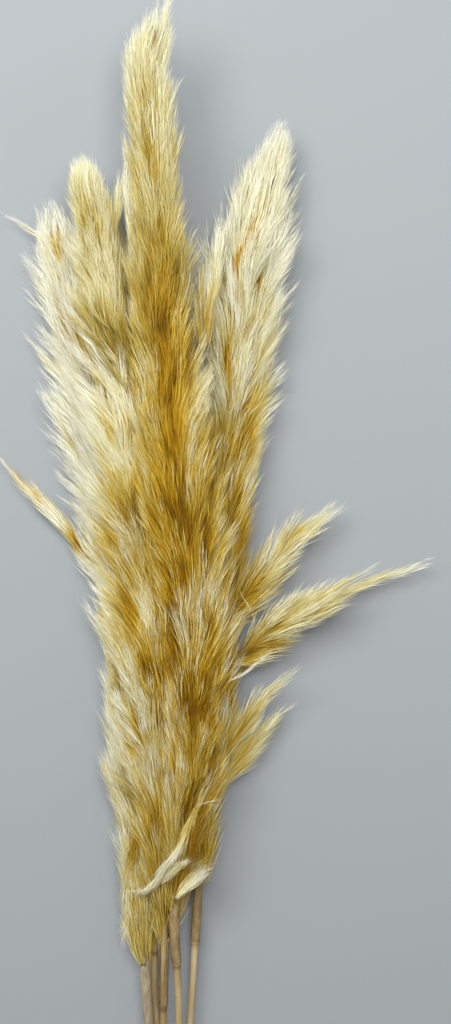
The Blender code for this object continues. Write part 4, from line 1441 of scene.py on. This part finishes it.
class PAMPAS_OT_stage(bpy.types.Operator):
    """Make the floor, the lights and the camera"""

    bl_idname = "pampas.stage"
    bl_label = "Stage"

    def execute(self, context):
        scene = context.scene
        looks = scene.pampas_stage
        finish, nodes, shader = new_finish("plain_floor")
        nodes.fill(shader, Base_Color=(*looks.floor, 1), Roughness=0.9)
        floor = plain_mesh("floor", FLOOR_CORNERS, [(0, 1, 2, 3)])
        floor.data.materials.append(finish)
        for name, (spot, width) in LAMPS.items():
            lamp = bpy.data.lights.new(name + " light", "AREA")
            lamp.shape = "DISK"
            lamp.size = width
            lamp.energy = getattr(looks, name)
            lamp.color = WARM_WHITE
            made = bpy.data.objects.new(name + " light", lamp)
            made.location = spot
            made.rotation_euler = (Vector(LAMP_AIM) - Vector(spot)).to_track_quat("-Z", "Y").to_euler()
            scene.collection.objects.link(made)
        sky = bpy.data.worlds.new("studio")
        sky.use_nodes = True
        background = sky.node_tree.nodes["Background"]
        background.inputs["Color"].default_value = (*WARM_WHITE, 1)
        background.inputs["Strength"].default_value = looks.sky
        scene.world = sky
        scene.view_settings.view_transform = "Standard"
        lens = bpy.data.cameras.new("camera")
        lens.sensor_width = CAMERA_SENSOR
        lens.lens = CAMERA_LENS
        camera = bpy.data.objects.new("camera", lens)
        camera.location = CAMERA_PLACE
        scene.collection.objects.link(camera)
        bpy.context.scene.camera = camera
        return {"FINISHED"}


class PAMPAS_OT_plumes(bpy.types.Operator):
    """Grow the hair of the five plumes"""

    bl_idname = "pampas.plumes"
    bl_label = "Plumes"

    def execute(self, context):
        looks = context.scene.pampas_plumes
        finish = plume_finish(looks)
        group = bpy.data.collections.new("hair strands")
        context.scene.collection.children.link(group)
        for k, (lean, thickness) in enumerate(STRANDS):
            strand = hair_strand(f"strand {k}", lean, thickness)
            context.scene.collection.objects.unlink(strand)
            group.objects.link(strand)
        tree = hair_tree()
        for plume in PLUMES:
            outer, under, core = outer_tufts(plume), undercoat_tufts(plume), core_body(plume)
            for label, tufts, hairs, length, middle in (
                ("plume_", outer, looks.hairs, looks.length, None),
                ("undercoat_", under, looks.under_hairs, looks.under_length, core),
            ):
                piece = grown(
                    tuft_lines(plume, tufts, hairs), tree, "dressed_" + label + plume.name, finish=finish,
                    strands=group, core=middle, hair_length=length, flare=looks.flare, frizz=looks.frizz,
                    lean=looks.lean, waves=looks.waves, body_share=looks.body, seed=plume.seed + len(label),
                )
                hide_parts("plume_" + plume.name)
                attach(piece, "root")
            bpy.data.objects.remove(core)
        for strand in list(group.objects):
            bpy.data.objects.remove(strand)
        bpy.data.collections.remove(group)
        return {"FINISHED"}


class PAMPAS_OT_culms(bpy.types.Operator):
    """Make the five culms with their joints and cut ends"""

    bl_idname = "pampas.culms"
    bl_label = "Culms"

    def execute(self, context):
        finish = culm_finish(context.scene.pampas_stems)
        for plume in PLUMES:
            culm = culm_body(plume)
            culm.data.materials.append(finish)
            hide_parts("stem_" + plume.name)
            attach(culm, "root")
        return {"FINISHED"}


class PAMPAS_OT_sheaths(bpy.types.Operator):
    """Make the leaf sheaths that clasp four of the culms"""

    bl_idname = "pampas.sheaths"
    bl_label = "Leaf sheaths"

    def execute(self, context):
        looks = context.scene.pampas_stems
        tan = sheath_finish("sheath_tan", looks.tan_dark, looks.tan, looks.tan_light)
        pale = sheath_finish("sheath_pale", looks.pale_dark, looks.pale, looks.pale_light)
        rng = random.Random(SHEATH_SEED)
        for name, (low, high, opening) in SHEATHS.items():
            plume = next(found for found in PLUMES if found.name == name)
            sheath = sheath_body(plume, low, high, opening, rng)
            sheath.data.materials.append(pale if name == "left" else tan)
            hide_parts("sheath_" + name)
            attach(sheath, "root")
        return {"FINISHED"}


class PAMPAS_OT_twine(bpy.types.Operator):
    """Wind the twine round the culms"""

    bl_idname = "pampas.twine"
    bl_label = "Twine"

    def execute(self, context):
        finish = twine_finish(context.scene.pampas_stems)
        twine = grown(
            twine_line(), twine_tree(), "dressed_tie", finish=finish, twine_radius=TWINE_RADIUS,
            lay_length=LAY_LENGTH,
        )
        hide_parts("tie")
        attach(twine, "root")
        return {"FINISHED"}


class PAMPAS_PT_panel(bpy.types.Panel):
    """Lists the steps that make the bunch"""

    bl_idname = "PAMPAS_PT_panel"
    bl_label = "Dried pampas grass"
    bl_space_type = "VIEW_3D"
    bl_region_type = "UI"
    bl_category = "Pampas"

    def draw(self, context):
        for operator in OPERATORS:
            self.layout.operator(operator.bl_idname)


LOOKS = {"pampas_plumes": PlumeLooks, "pampas_stems": StemLooks, "pampas_stage": StageLooks}
OPERATORS = (PAMPAS_OT_stage, PAMPAS_OT_plumes, PAMPAS_OT_culms, PAMPAS_OT_sheaths, PAMPAS_OT_twine)


def register():
    for kind in (*LOOKS.values(), *OPERATORS, PAMPAS_PT_panel):
        bpy.utils.register_class(kind)
    for name, kind in LOOKS.items():
        setattr(bpy.types.Scene, name, PointerProperty(type=kind))


def unregister():
    for name in LOOKS:
        delattr(bpy.types.Scene, name)
    for kind in reversed((*LOOKS.values(), *OPERATORS, PAMPAS_PT_panel)):
        bpy.utils.unregister_class(kind)


def main():
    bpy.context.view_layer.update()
    register()
    bpy.ops.pampas.stage()
    bpy.ops.pampas.plumes()
    bpy.ops.pampas.culms()
    bpy.ops.pampas.sheaths()
    bpy.ops.pampas.twine()


if __name__ == "__main__":
    main()
